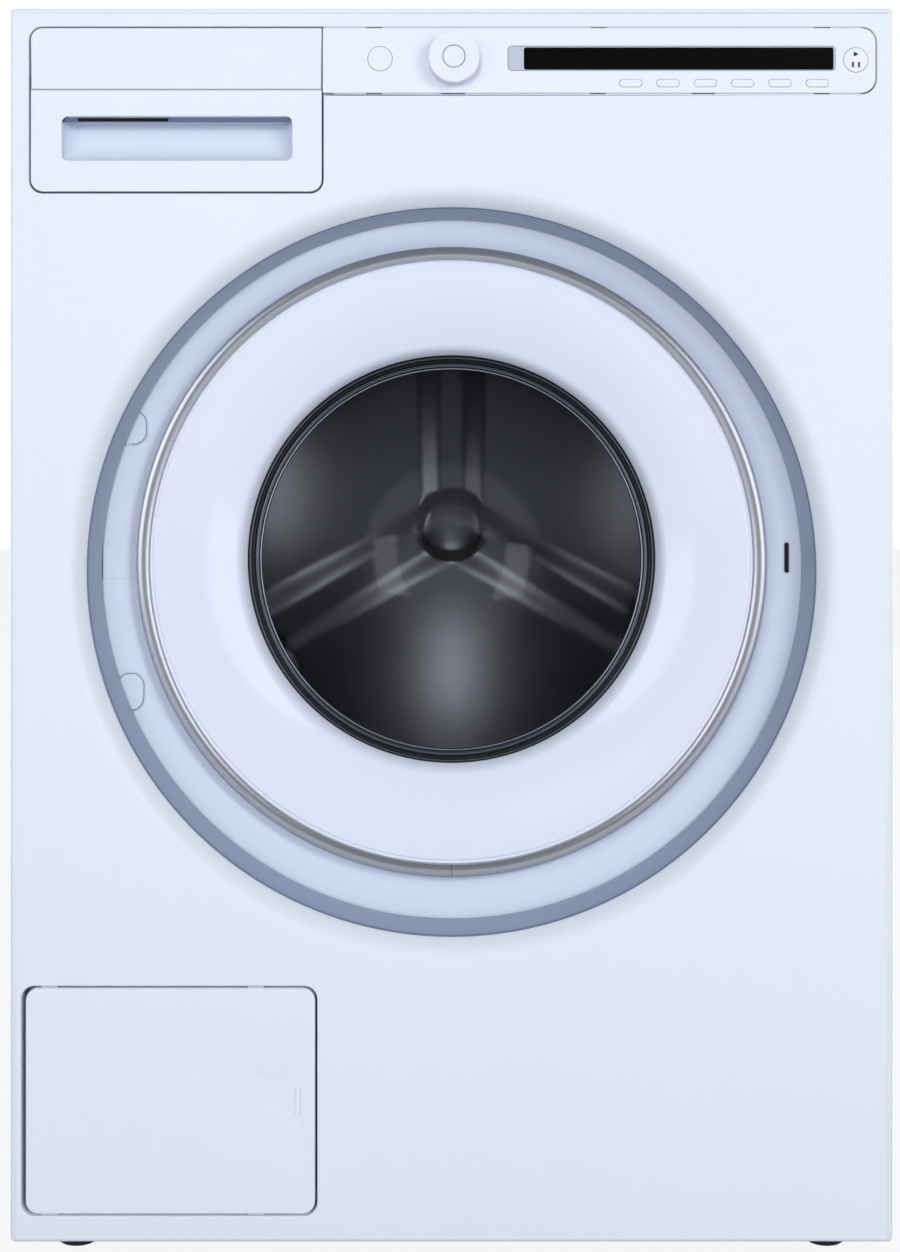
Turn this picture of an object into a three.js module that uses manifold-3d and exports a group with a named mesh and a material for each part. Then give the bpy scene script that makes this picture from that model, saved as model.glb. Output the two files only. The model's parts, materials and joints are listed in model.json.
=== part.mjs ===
// Front-loading washing machine. Millimetres, +Z up, the front faces -Y.
// Depths are measured from the face of the front panel towards the rear, and the finished
// group is then moved so that its origin lies under the middle of the machine on the floor.

import * as THREE from 'three';
import { mergeVertices } from 'three/addons/utils/BufferGeometryUtils.js';
import Module from 'manifold-3d';

const wasm = await Module();
wasm.setup();

// Shared clearances
const seam = 0.3;
const overrun = 6;
const bury = 3;
const weldDistance = 0.0001;

// Numbers of sides and steps
const recessSteps = 48;
const doorSteps = 40;
const drumSteps = 36;
const hiddenSteps = 20;
const buttonSteps = 16;
const boreSteps = 12;
const legSteps = 8;
const tubSteps = 28;
const pillSteps = 2;
const beltSteps = 16;
const cornerSteps = 3;
const filletSteps = 3;
const dishSteps = 5;
const bowlSteps = 6;

// Cabinet
const cabinetWidth = 595;
const cabinetDepth = 585;
const cabinetHeight = 850;
const footReach = 18;
const sheet = 1;
const frontReturn = 18;
const panelEdge = 3;
const topRim = 20;
const sideFrontFlange = 10;
const sideRearFlange = 14;

// Round recess pressed into the front panel
const recessHeight = 469;
const recessRadius = 247;
const recessFillet = 9;
const recessDepth = 34;
const recessDraft = 5.3;

// Openings for the drawer and the control strip
const fasciaLeftMargin = 14;
const fasciaRightMargin = 11.7;
const fasciaTopMargin = 13.5;
const fasciaGap = 1.5;
const drawerStripGap = 0.7;
const openingFlange = 12;

// Service hatch
const hatchLeftMargin = 10.5;
const hatchRise = 19.4;
const hatchWidth = 195;
const hatchHeight = 152;
const hatchCorner = 8.5;
const hatchGap = 1.5;
const hatchHingeGap = 3;
const hatchPlate = 3;
const hatchRim = 9;
const hatchRimWall = 2;
const hatchRimInset = 2;
const hatchPivotInset = 12.5;
const hatchPivotDepth = 6;
const hatchPin = 2.5;
const hatchPinReach = 4;
const hatchGrooveInset = 11.5;
const hatchGrooveWidth = 3.6;
const hatchGrooveHeight = 19;
const hatchGrooveDrop = 0.5;
const hatchGrooveDepth = 1.2;

// Rear panel and its cover
const rearOpeningWidth = 380;
const rearOpeningHeight = 480;
const rearOpeningRise = 200;
const rearOpeningCorner = 20;
const coverOverlap = 16;
const coverDome = 6;
const coverDomeInset = 34;

// Base pan
const panRim = 30;
const panSheet = 1.5;
const footSleeve = 9;
const footSleeveHeight = 20;
const seatRing = 20;
const seatHeight = 6;

// Levelling feet
const footInset = 37.5;
const footSetback = 48;
const footFlange = 19;
const footTread = 13;
const footTreadRound = 2;
const footFlangeHeight = 12;
const footPad = 17.7;
const footThread = 5;
const footStemTop = 62;

// Door and tub axis
const axisHeight = 474;

// Steel door ring
const ringRadius = 217.6;
const ringWidth = 8.8;
const ringFront = 30;
const ringCrest = 4;
const ringSkirt = 1.2;
const ringSkirtEnd = 50;
const ringSteps = 4;

// White door frame, dished towards the glass
const frameFront = 32.5;
const frameHole = 145;
const frameDish = 17.5;
const frameDishPower = 1.6;
const frameWall = 2.5;
const frameLip = 2;

// Inner door frame and glass bowl
const innerFrameFront = 57.3;
const innerFrameWall = 4.7;
const innerFrameLip = 2;
const innerFrameHole = 146;
const glassFlange = 152;
const glassFlangeWall = 3;
const glassMouth = 137;
const glassWall = 4;
const glassDepth = 103;
const glassTaper = 34;
const glassRound = 1.9;

// Door hinge on the left and catch on the right
const hingeX = -259;
const hingeDepth = 13;
const hingePin = 2.5;
const hingeEye = 5;
const forkSpread = 12.3;
const forkWall = 4;
const pocketMargin = 4;
const pocketReach = 16.6;
const bracketInner = 2.5;
const bracketFoot = 60;
const armWall = 4;
const armLeaf = 37;
const neckRadius = 33;
const neckTurn = 157;
const neckTip = 52;
const neckRoot = 62;
const neckSteps = 6;
const catchX = 200;
const catchWall = 4;
const catchHeight = 16;
const catchReach = 22;
const catchHook = 5;
const catchMouth = 9;

// Door surround, the floor of the recess, carried by the tub
const surroundRadius = 246;
const surroundFront = 37;
const surroundWall = 2;
const surroundWell = 222;
const surroundWellDepth = 74;
const surroundHole = 160.8;
const surroundSlope = 21;
const latchSlotX = 232.5;
const latchSlotRise = 2.5;
const latchSlotWidth = 2.8;
const latchSlotHeight = 20;
const hingeCoverX = -226;
const hingeCoverSpread = 88;
const hingeCoverWidth = 26;
const hingeCoverHeight = 30;
const hingeCoverGroove = 1;
const hingeCoverDepth = 0.8;

// Door lock behind the surround
const lockLeft = 182;
const lockRight = 240;
const lockHeight = 68;
const lockDepth = 27;
const lockTongueLeft = 230.5;
const lockTongueHeight = 32;
const lockTongueFront = 50;

// Tub
const tubRadius = 262;
const tubWall = 3;
const tubFlange = 268;
const tubFlangeWall = 4;
const tubFrontDepth = 106;
const tubFrontWall = 3;
const tubBack = 500;
const tubBackWall = 4;
const tubBackRound = 12;
const collarRadius = 158;
const collarWall = 4;
const collarFront = 68;
const postRadius = 172;
const postSize = 8;
const postCount = 6;
const hubRadius = 46;
const hubEnd = 540;
const ribCount = 9;
const ribWall = 3;
const ribHeight = 22;
const sumpLeft = -84;
const sumpRight = 56;
const sumpNear = 130;
const sumpFar = 480;
const sumpDrop = 14;
const sumpWall = 3;

// Door seal over the tub collar
const sealLip = 140.5;
const sealWall = 2.4;
const sealSkirt = 8;

// Front counterweight
const weightInner = 186;
const weightOuter = 255;
const weightWall = 26;
const weightGap = 40;

// Drum bearing and shaft
const bearingRadius = 26;
const bearingNear = 506;
const bearingFar = 534;
const shaftRadius = 15;
const shaftStep = 12;
const shaftEnd = 568;

// Drum
const drumRadius = 240;
const drumWall = 1.2;
const drumFront = 121;
const drumBack = 462;
const drumCorner = 9;
const drumMouth = 158;
const drumMouthCurl = 8;
const bossRadius = 30.6;
const bossRise = 22;
const bossRound = 4;
const ridgeWidth = 30;
const ridgeRise = 7;
const ridgeInset = 12;
const ridgeEnd = 214;

// Lifters
const lifterCount = 3;
const firstArmAngle = Math.PI / 2;
const lifterTurnShare = 0.1;
const lifterSheet = 1.2;
const lifterHeight = 54;
const lifterBase = 58;
const lifterTop = 22;
const lifterNear = 150;
const lifterFar = 440;
const lifterBevel = 8;

// Spider behind the drum
const spiderHub = 42;
const spiderArmWidth = 34;
const spiderArmWall = 14;
const spiderReach = 226;
const spiderHubEnd = 492;

// Pulleys, belt and motor
const beltNear = 548;
const beltWidth = 12;
const beltWall = 3;
const beltClearance = 0.9;
const drumPulley = 150;
const pulleyRim = 9;
const pulleySpokes = 6;
const pulleySpokeWidth = 22;
const pulleySpokeWall = 5;
const pulleyHub = 24;
const motorPulley = 12;
const motorPulleyFlange = 3;
const motorPulleyFlangeWall = 2;
const motorX = 120;
const motorHeight = 150;
const motorRadius = 70;
const motorNear = 400;
const motorFar = 528;
const motorFins = 3;
const motorFinDepth = 4;
const motorCap = 6;
const motorCapInset = 14;
const motorShaft = 5;
const motorPadWidth = 56;
const motorPadNear = 420;
const motorPadFar = 510;

// Heater in the sump
const heaterTube = 4;
const heaterLeft = -34;
const heaterRight = 6;
const heaterHeight = 212;
const heaterNear = 230;
const heaterFlangeWidth = 72;
const heaterFlangeHeight = 16;
const heaterFlangeWall = 6;

// Dampers
const damperX = 225;
const damperNear = 175;
const damperFar = 435;
const damperTube = 16;
const damperTop = 175;
const damperBoreFloor = 70;
const damperRod = 8;
const damperRodFoot = 100;
const damperBracket = 20;
const damperBracketFoot = 322;

// Pump and filter
const pumpX = -150;
const pumpHeight = 92;
const pumpFront = 34;
const pumpChamber = 34;
const pumpBore = 28;
const pumpBoreEnd = 140;
const pumpChamberEnd = 190;
const pumpMotor = 27;
const pumpMotorEnd = 250;
const pumpMouth = 39;
const pumpMouthWall = 5;
const pumpInletX = -60;
const pumpInletDepth = 165;
const pumpPipe = 16;
const pumpPipeBore = 12;
const pumpInletTop = 150;
const pumpLegWidth = 12;
const pumpLegSpread = 24;
const capRadius = 33;
const capWall = 7;
const capGripWidth = 9;
const capGripReach = 9;
const basketRadius = 26;
const basketCore = 6;
const basketWall = 2;
const basketEnd = 126;

// Hoses
const hoseRib = 4;
const hoseRibs = 5;
const hoseWall = 2;
const sumpSpigotFoot = 186;

// Drawer front
const drawerFrontWidth = 196;
const drawerFrontHeight = 110;
const drawerCorner = 8;
const drawerPlate = 4;
const drawerRim = 9;
const drawerRimWall = 2;
const drawerRimInset = 1.5;
const handleLeftInset = 20.9;
const handleRise = 21;
const handleWidth = 155;
const handleHeight = 29.4;
const handleCorner = 3;
const handleDepth = 17;
const handleSlit = 4;
const handleSlitDepth = 7;
const handleShell = 2.5;

// Drawer tray
const trayWall = 2;
const trayFloorRise = 8;
const trayHeight = 72;
const trayLength = 220;
const traySideGap = 9;
const trayFrontGap = 0.3;
const trayDividerShare = 0.62;
const trayCrossShare = 0.5;
const siphonRadius = 9;
const siphonHeight = 46;

// Drawer housing and its water channel
const housingWall = 2;
const housingPlay = 1;
const housingHeadroom = 20;
const housingBack = 258;
const channelWidth = 64;
const channelHeight = 18;
const channelEnd = 520;
const housingSpigot = 15;
const housingSpigotDepth = 200;
const housingSpigotReach = 16;
const tubSpigotTop = 676;

// Control strip
const stripHeight = 43.6;
const stripCorner = 9.7;
const stripPlate = 3;
const stripRim = 10;
const stripRimWall = 2;
const stripRimInset = 1;
const stripClipWidth = 10;
const stripClipNear = 4;
const stripClipGap = 0.3;
const topClips = [3.5, 34.5, 186, 336.5];
const lowClips = [3.5, 34.5, 88, 185.5, 257.5, 336.5];
const carrierFar = 16;
const carrierInset = 8;

// Window in the strip
const windowLeftInset = 135.7;
const windowRise = 15.9;
const windowWidth = 208.4;
const windowHeight = 14.5;
const windowWall = 2;
const windowPocket = 2.6;

// Buttons and knob
const buttonGap = 0.35;
const buttonFlange = 2;
const buttonFlangeWall = 1.6;
const roundButton = 8.15;
const powerInset = 38.6;
const powerRise = 23;
const startInset = 359.2;
const startRise = 22.1;
const optionInset = 207.5;
const optionRise = 6.5;
const optionPitch = 25.16;
const optionCount = 6;
const optionWidth = 15;
const optionHeight = 5;
const optionProud = 0.6;
const knobInset = 88.4;
const knobRise = 22.6;
const knobRadius = 17.4;
const knobReach = 12;
const knobRound = 2;
const knobDisc = 7.35;
const knobDiscDrop = 0.5;
const knobStem = 4;
const knobClip = 7;

// Water inlet, drain outlet and mains gland on the rear
const inletX = -190;
const inletHeight = 780;
const inletThread = 13.1;
const inletBore = 8;
const inletReach = 18;
const inletBody = 22;
const inletBodyNear = 530;
const drainX = 215;
const drainHeight = 770;
const drainSpigot = 11;
const drainBore = 8;
const drainReach = 16;
const drainFlange = 20;
const glandX = 245;
const glandHeight = 700;
const glandBase = 10;
const glandTip = 6.5;
const glandBore = 4;
const glandReach = 14;
const rearFlangeWall = 3;

// Values that follow from the sizes above
const half = cabinetWidth / 2;
const bodyTop = cabinetHeight - topRim - seam;
const sideNear = frontReturn + seam;
const rearPanelNear = cabinetDepth - 2 * sheet - seam;
const drawerLeft = fasciaLeftMargin - half;
const drawerRight = drawerLeft + drawerFrontWidth;
const fasciaTop = cabinetHeight - fasciaTopMargin;
const drawerLow = fasciaTop - drawerFrontHeight;
const stripLeft = drawerRight + drawerStripGap;
const stripRight = half - fasciaRightMargin;
const stripLow = fasciaTop - stripHeight;
const hatchLeft = hatchLeftMargin - half;
const hatchRight = hatchLeft + hatchWidth;
const hatchLow = footReach + hatchRise;
const hatchTop = hatchLow + hatchHeight;
const hatchPivotX = hatchLeft + hatchPivotInset;
const ringInner = ringRadius - ringWidth;
const ringCrestBack = ringFront + ringCrest;
const frameRim = ringRadius - ringSkirt - seam;
const innerFrameRim = frameRim;
const frameEnd = innerFrameFront - seam;
const innerFrameBack = innerFrameFront + innerFrameWall + innerFrameLip;
const pocketHeight = 2 * (forkSpread + forkWall + pocketMargin);
const pocketRight = pocketReach - ringRadius;
const seatDepth = collarFront - innerFrameBack;
const drawerMiddle = (drawerLeft + drawerRight) / 2;
const trayNear = handleDepth + handleShell + trayFrontGap;
const trayLow = drawerLow + trayFloorRise;
const housingLow = trayLow - seam - housingWall;
const housingTop = trayLow + trayHeight + housingHeadroom;
const motorAngle = Math.atan2(motorHeight - axisHeight, motorX);
const motorSpan = Math.hypot(motorX, motorHeight - axisHeight);
const sumpFloor = axisHeight - tubRadius - sumpDrop;
const ridgeStart = bossRadius + bossRound / 2;
const knobX = stripLeft + knobInset;
const knobHeight = stripLow + knobRise;
const rearReach = cabinetDepth + inletReach;
const originShift = (rearReach - knobReach) / 2;

// Finishes
const finish = {
  whitePaint: { color: 0xdfe9f5, roughness: 0.35, metalness: 0 },
  whitePlastic: { color: 0xe2ebf6, roughness: 0.3, metalness: 0 },
  surroundPaint: { color: 0xc8d3e9, roughness: 0.4, metalness: 0 },
  brushedSteel: { color: 0xb9b7b4, roughness: 0.3, metalness: 1 },
  zincSteel: { color: 0x9a9fa5, roughness: 0.5, metalness: 0.8 },
  castAluminium: { color: 0xa8abad, roughness: 0.55, metalness: 0.9 },
  concrete: { color: 0x8f8d88, roughness: 0.9, metalness: 0 },
  darkPlastic: { color: 0x2c2e33, roughness: 0.6, metalness: 0 },
  greyPlastic: { color: 0x9aa0aa, roughness: 0.6, metalness: 0 },
  tubPlastic: { color: 0xb7bcc2, roughness: 0.6, metalness: 0 },
  rubber: { color: 0x3a3c40, roughness: 0.8, metalness: 0 },
  display: { color: 0x030805, roughness: 0.15, metalness: 0 },
  glass: { color: 0x23282e, roughness: 0.05, metalness: 0 },
  motorSteel: { color: 0x5b5e63, roughness: 0.6, metalness: 0.6 },
};

// Turns a closed geometry into a solid with shared corners and faces that point out
function solid(geometry) {
  const bare = geometry.clone();
  bare.deleteAttribute('normal');
  bare.deleteAttribute('uv');
  const merged = mergeVertices(bare, weldDistance);
  const places = merged.attributes.position.array;
  const corners = merged.index.array;
  const kept = [];
  const a = new THREE.Vector3();
  const b = new THREE.Vector3();
  const c = new THREE.Vector3();
  let volume = 0;
  for (let i = 0; i < corners.length; i += 3) {
    const [p, q, r] = [corners[i], corners[i + 1], corners[i + 2]];
    if (p === q || q === r || r === p) continue;
    a.fromArray(places, 3 * p);
    b.fromArray(places, 3 * q);
    c.fromArray(places, 3 * r);
    volume += a.dot(b.cross(c));
    kept.push(p, q, r);
  }
  if (volume < 0) {
    for (let i = 0; i < kept.length; i += 3) {
      [kept[i], kept[i + 1]] = [kept[i + 1], kept[i]];
    }
  }
  return new wasm.Manifold(new wasm.Mesh({
    numProp: 3,
    vertProperties: new Float32Array(places),
    triVerts: new Uint32Array(kept),
  }));
}

function joined(...parts) {
  return parts.reduce((whole, part) => whole.add(part));
}

function without(whole, ...cuts) {
  return cuts.reduce((rest, cut) => rest.subtract(cut), whole);
}

// The biggest of the bodies that a cut leaves
function largest(shape) {
  return shape.decompose().reduce((big, next) => (next.volume() > big.volume() ? next : big));
}

// A box between two x, two depths and two heights
function box(left, right, near, far, low, high) {
  const geometry = new THREE.BoxGeometry(right - left, far - near, high - low);
  geometry.translate((left + right) / 2, (near + far) / 2, (low + high) / 2);
  return solid(geometry);
}

// A rectangle with its own radius at the lower left, lower right, upper right and upper left
function rectangle(left, right, low, high, radii = [0, 0, 0, 0]) {
  const [lowerLeft, lowerRight, upperRight, upperLeft] = radii;
  const shape = new THREE.Shape();
  const quarter = Math.PI / 2;
  shape.moveTo(left + lowerLeft, low);
  shape.lineTo(right - lowerRight, low);
  if (lowerRight) shape.absarc(right - lowerRight, low + lowerRight, lowerRight, -quarter, 0);
  shape.lineTo(right, high - upperRight);
  if (upperRight) shape.absarc(right - upperRight, high - upperRight, upperRight, 0, quarter);
  shape.lineTo(left + upperLeft, high);
  if (upperLeft) {
    shape.absarc(left + upperLeft, high - upperLeft, upperLeft, quarter, 2 * quarter);
  }
  shape.lineTo(left, low + lowerLeft);
  if (lowerLeft) {
    shape.absarc(left + lowerLeft, low + lowerLeft, lowerLeft, 2 * quarter, 3 * quarter);
  }
  return shape;
}

function evenly(radius) {
  return [radius, radius, radius, radius];
}

function polygon(points) {
  return new THREE.Shape(points.map(([x, y]) => new THREE.Vector2(x, y)));
}

// An outline in (x, height) carried from one depth to another
function depthwise(shape, near, far, curveSegments = cornerSteps) {
  const options = { depth: far - near, bevelEnabled: false, curveSegments };
  const geometry = new THREE.ExtrudeGeometry(shape, options);
  geometry.rotateX(Math.PI / 2);
  geometry.translate(0, far, 0);
  return solid(geometry);
}

// An outline in (x, depth) carried upwards
function upright(shape, low, high, curveSegments = cornerSteps) {
  const options = { depth: high - low, bevelEnabled: false, curveSegments };
  const geometry = new THREE.ExtrudeGeometry(shape, options);
  geometry.translate(0, 0, low);
  return solid(geometry);
}

// An outline in (depth, height) carried from left to right
function crosswise(shape, left, right, curveSegments = cornerSteps) {
  const options = { depth: right - left, bevelEnabled: false, curveSegments };
  const geometry = new THREE.ExtrudeGeometry(shape, options);
  const along = new THREE.Vector3(0, 1, 0);
  const up = new THREE.Vector3(0, 0, 1);
  const across = new THREE.Vector3(1, 0, 0);
  geometry.applyMatrix4(new THREE.Matrix4().makeBasis(along, up, across));
  geometry.translate(left, 0, 0);
  return solid(geometry);
}

// A block whose edges are rounded all round the face at its near end
function pillow(left, right, low, high, near, far, radius) {
  const inner = rectangle(left + radius, right - radius, low + radius, high - radius);
  const options = {
    depth: far - near,
    bevelSize: radius,
    bevelThickness: radius,
    bevelSegments: filletSteps,
  };
  const geometry = new THREE.ExtrudeGeometry(inner, options);
  geometry.rotateX(Math.PI / 2);
  geometry.translate(0, far + radius, 0);
  const tail = box(left - overrun, right + overrun, far, far + radius + radius + overrun,
    low - overrun, high + overrun);
  return without(solid(geometry), tail);
}

// A closed profile of [radius, depth] pairs turned about a depthwise axis
function turned(profile, steps, x = 0, height = 0) {
  const geometry = new THREE.LatheGeometry(closedProfile(profile), steps);
  geometry.translate(x, 0, height);
  return solid(geometry);
}

// A closed profile of [radius, height] pairs turned about an upright axis
function turnedUp(profile, steps, x, depth) {
  const geometry = new THREE.LatheGeometry(closedProfile(profile), steps);
  geometry.rotateX(Math.PI / 2);
  geometry.translate(x, depth, 0);
  return solid(geometry);
}

function closedProfile(profile) {
  const points = profile.map(([radius, place]) => new THREE.Vector2(radius, place));
  const onAxis = profile[0][0] === 0 && profile.at(-1)[0] === 0;
  if (!onAxis) points.push(points[0].clone());
  return points;
}

function rod(radius, near, far, steps, x = 0, height = 0) {
  return turned([[0, near], [radius, near], [radius, far], [0, far]], steps, x, height);
}

function pipe(outer, inner, near, far, steps, x = 0, height = 0) {
  const profile = [[inner, near], [outer, near], [outer, far], [inner, far]];
  return turned(profile, steps, x, height);
}

function rodUp(radius, low, high, steps, x, depth) {
  return turnedUp([[0, low], [radius, low], [radius, high], [0, high]], steps, x, depth);
}

function pipeUp(outer, inner, low, high, steps, x, depth) {
  const profile = [[inner, low], [outer, low], [outer, high], [inner, high]];
  return turnedUp(profile, steps, x, depth);
}

// A box that points outwards from the main axis at an angle seen from the front
function spoke(angle, inner, outer, width, near, far, x = 0, height = axisHeight) {
  const geometry = new THREE.BoxGeometry(outer - inner, far - near, width);
  geometry.translate((inner + outer) / 2, (near + far) / 2, 0);
  geometry.rotateY(-angle);
  geometry.translate(x, 0, height);
  return solid(geometry);
}

// Points of an arc, as [radius, depth] or any other pair
function arc(centreA, centreB, radius, start, end, steps) {
  return Array.from({ length: steps + 1 }, (_, i) => {
    const angle = start + (end - start) * i / steps;
    return [centreA + radius * Math.cos(angle), centreB + radius * Math.sin(angle)];
  });
}

function angles(count, first = 0) {
  return Array.from({ length: count }, (_, i) => first + 2 * Math.PI * i / count);
}

// Outline of the drawer and strip openings, grown by a margin
function fasciaCut(grow, near, far) {
  const radius = drawerCorner + grow;
  const drawerShape = rectangle(drawerLeft - grow, drawerRight + grow, drawerLow - grow,
    fasciaTop + grow, [radius, radius, 0, radius]);
  const stripRadius = stripCorner + grow;
  const stripShape = rectangle(drawerRight - drawerCorner, stripRight + grow, stripLow - grow,
    fasciaTop + grow, [0, stripRadius, stripRadius, 0]);
  return joined(depthwise(drawerShape, near, far), depthwise(stripShape, near, far));
}

// Outline of the hatch opening, grown by a margin
function hatchCut(grow, near, far) {
  const shape = rectangle(hatchLeft - hatchHingeGap - grow, hatchRight + hatchGap + grow,
    hatchLow - hatchGap - grow, hatchTop + hatchGap + grow, evenly(hatchCorner + grow));
  return depthwise(shape, near, far);
}

// Front panel: a folded tray with the pressed recess and flanged openings
function frontPanel() {
  const outside = pillow(-half, half, footReach, cabinetHeight, 0, frontReturn, panelEdge);
  const inside = pillow(-half + sheet, half - sheet, footReach + sheet, cabinetHeight - sheet,
    sheet, frontReturn + overrun, panelEdge - sheet);
  const wallTop = recessRadius + recessFillet;
  const quarter = Math.PI / 2;
  const face = arc(wallTop, recessFillet, recessFillet, -quarter, -2 * quarter, filletSteps);
  const back = arc(wallTop, recessFillet, recessFillet - sheet, -2 * quarter, -quarter,
    filletSteps);
  const foot = recessRadius - recessDraft;
  const wall = turned([[wallTop + bury, 0], ...face, [foot, recessDepth],
    [foot + sheet, recessDepth], ...back, [wallTop + bury, sheet]],
  recessSteps, 0, recessHeight);
  const hole = rod(wallTop + bury / 2, -overrun, frontReturn, recessSteps, 0, recessHeight);
  const fasciaLip = without(fasciaCut(fasciaGap + sheet, 0, openingFlange),
    fasciaCut(fasciaGap, -overrun, openingFlange + overrun));
  const hatchLip = without(hatchCut(sheet, 0, openingFlange),
    hatchCut(0, -overrun, openingFlange + overrun));
  const pinHole = rodUp(hatchPin + seam, hatchLow - hatchGap - sheet - overrun,
    hatchTop + hatchGap + sheet + overrun, buttonSteps, hatchPivotX, hatchPivotDepth);
  const skin = without(outside, inside, hole, fasciaCut(fasciaGap, -overrun, frontReturn),
    hatchCut(0, -overrun, frontReturn));
  return joined(skin, wall, fasciaLip, without(hatchLip, pinHole));
}

// Side panel: one sheet folded in at the front and the rear
function sidePanel(side) {
  const outer = side * half;
  const inner = side * (half - sheet);
  const outline = polygon([
    [side * (half - sheet - sideFrontFlange), sideNear],
    [outer, sideNear],
    [outer, cabinetDepth],
    [side * (half - sheet - sideRearFlange), cabinetDepth],
    [side * (half - sheet - sideRearFlange), cabinetDepth - sheet],
    [inner, cabinetDepth - sheet],
    [inner, sideNear + sheet],
    [side * (half - sheet - sideFrontFlange), sideNear + sheet],
  ]);
  return upright(outline, footReach, bodyTop);
}

// Top panel: a tray turned upside down, with rounded upper edges
function topPanel() {
  const radius = panelEdge;
  const outline = rectangle(-half + radius, half - radius, sideNear + radius,
    cabinetDepth - radius);
  const geometry = new THREE.ExtrudeGeometry(outline, {
    depth: topRim,
    bevelSize: radius,
    bevelThickness: radius,
    bevelSegments: filletSteps,
  });
  geometry.translate(0, 0, cabinetHeight - topRim - radius);
  const tail = box(-half - overrun, half + overrun, sideNear - overrun,
    cabinetDepth + overrun, cabinetHeight - 2 * topRim, cabinetHeight - topRim);
  const hollow = box(-half + sheet, half - sheet, sideNear + sheet, cabinetDepth - sheet,
    cabinetHeight - topRim - overrun, cabinetHeight - sheet);
  return without(solid(geometry), tail, hollow);
}

// Rear panel with the service opening and the holes for water, drain and mains
function rearPanel() {
  const reach = half - sheet - seam;
  const near = rearPanelNear;
  const far = near + sheet;
  const low = footReach + panRim / 2;
  const skin = box(-reach, reach, near, far, low, bodyTop);
  const opening = depthwise(rectangle(-rearOpeningWidth / 2, rearOpeningWidth / 2,
    rearOpeningRise, rearOpeningRise + rearOpeningHeight, evenly(rearOpeningCorner)),
  near - overrun, far + overrun);
  const holes = [
    rod(inletThread + seam, near - overrun, far + overrun, buttonSteps, inletX, inletHeight),
    rod(drainSpigot + seam, near - overrun, far + overrun, buttonSteps, drainX, drainHeight),
    rod(glandBase - seam, near - overrun, far + overrun, buttonSteps, glandX, glandHeight),
  ];
  return without(skin, opening, ...holes);
}

// Service cover on the rear panel, domed outwards
function rearCover() {
  const reach = rearOpeningWidth / 2 + coverOverlap;
  const low = rearOpeningRise - coverOverlap;
  const high = rearOpeningRise + rearOpeningHeight + coverOverlap;
  const near = rearPanelNear + sheet + seam;
  const plate = depthwise(rectangle(-reach, reach, low, high,
    evenly(rearOpeningCorner + coverOverlap)), near, near + sheet);
  const dome = (inset, from, to) => depthwise(rectangle(-reach + inset, reach - inset,
    low + inset, high - inset, evenly(rearOpeningCorner)), from, to);
  const outside = dome(coverDomeInset, near, near + coverDome);
  const inside = dome(coverDomeInset + sheet, near - overrun, near + coverDome - sheet);
  return without(joined(plate, outside), inside);
}

// Base pan with foot sleeves and damper seats
function basePan() {
  const reach = half - sheet - seam;
  const near = sideNear + sheet + seam;
  const far = rearPanelNear - seam;
  const floor = footReach + panSheet;
  const tray = without(
    box(-reach, reach, near, far, footReach, footReach + panRim),
    box(-reach + panSheet, reach - panSheet, near + panSheet, far - panSheet, floor,
      footReach + panRim + overrun));
  const sleeves = footPlaces().map(([x, depth]) => rodUp(footSleeve, footReach,
    footReach + footSleeveHeight, boreSteps, x, depth));
  const seats = damperPlaces().map(([x, depth]) => rodUp(seatRing, footReach,
    floor + seatHeight, boreSteps, x, depth));
  const bores = footPlaces().map(([x, depth]) => rodUp(footThread + seam,
    footReach - overrun, footReach + footSleeveHeight + overrun, boreSteps, x, depth));
  return without(joined(tray, ...sleeves, ...seats), ...bores);
}

function footPlaces() {
  const x = half - footInset;
  const rear = cabinetDepth - footSetback;
  return [[-x, footSetback], [x, footSetback], [-x, rear], [x, rear]];
}

function damperPlaces() {
  return [
    [-damperX, damperNear], [damperX, damperNear],
    [-damperX, damperFar], [damperX, damperFar],
  ];
}

// Levelling foot: a tapered tread under a flange, on a threaded stem
function foot([x, depth]) {
  return turnedUp([
    [0, 0], [footTread, 0], [footTread + footTreadRound, footTreadRound],
    [footFlange, footFlangeHeight], [footFlange, footPad], [footThread, footPad],
    [footThread, footStemTop], [0, footStemTop],
  ], boreSteps, x, depth);
}

// Damper tube standing on its seat, open at the top for the rod
function damper([x, depth]) {
  const low = footReach + panSheet + seatHeight + seam;
  return turnedUp([
    [0, low], [damperTube, low], [damperTube, damperTop],
    [damperRod + seam, damperTop], [damperRod + seam, damperBoreFloor],
    [0, damperBoreFloor],
  ], boreSteps, x, depth);
}

// Polished ring round the door, with a skirt over its side
function doorRing() {
  const middle = ringRadius - ringWidth / 2;
  const crest = Array.from({ length: ringSteps + 1 }, (_, i) => {
    const angle = Math.PI * i / ringSteps;
    const rise = (ringCrest - ringSkirt) * Math.sin(angle);
    return [middle + ringWidth / 2 * Math.cos(angle), ringCrestBack - ringSkirt - rise];
  });
  const ring = turned([
    [ringRadius, ringSkirtEnd], ...crest, [ringInner, ringCrestBack],
    [ringRadius - ringSkirt, ringCrestBack], [ringRadius - ringSkirt, ringSkirtEnd],
  ], doorSteps, 0, axisHeight);
  return without(ring, hingePocket(ringCrestBack));
}

// Room in the door's edge for the fixed half of the hinge
function hingePocket(near) {
  const mid = axisHeight;
  return box(-ringRadius - overrun, pocketRight, near, innerFrameBack + overrun,
    mid - pocketHeight / 2, mid + pocketHeight / 2);
}

// Depth of the dished face at a radius
function dishDepth(radius) {
  const share = (ringInner - seam - radius) / (ringInner - seam - frameHole);
  return frameFront + frameDish * share ** frameDishPower;
}

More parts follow.
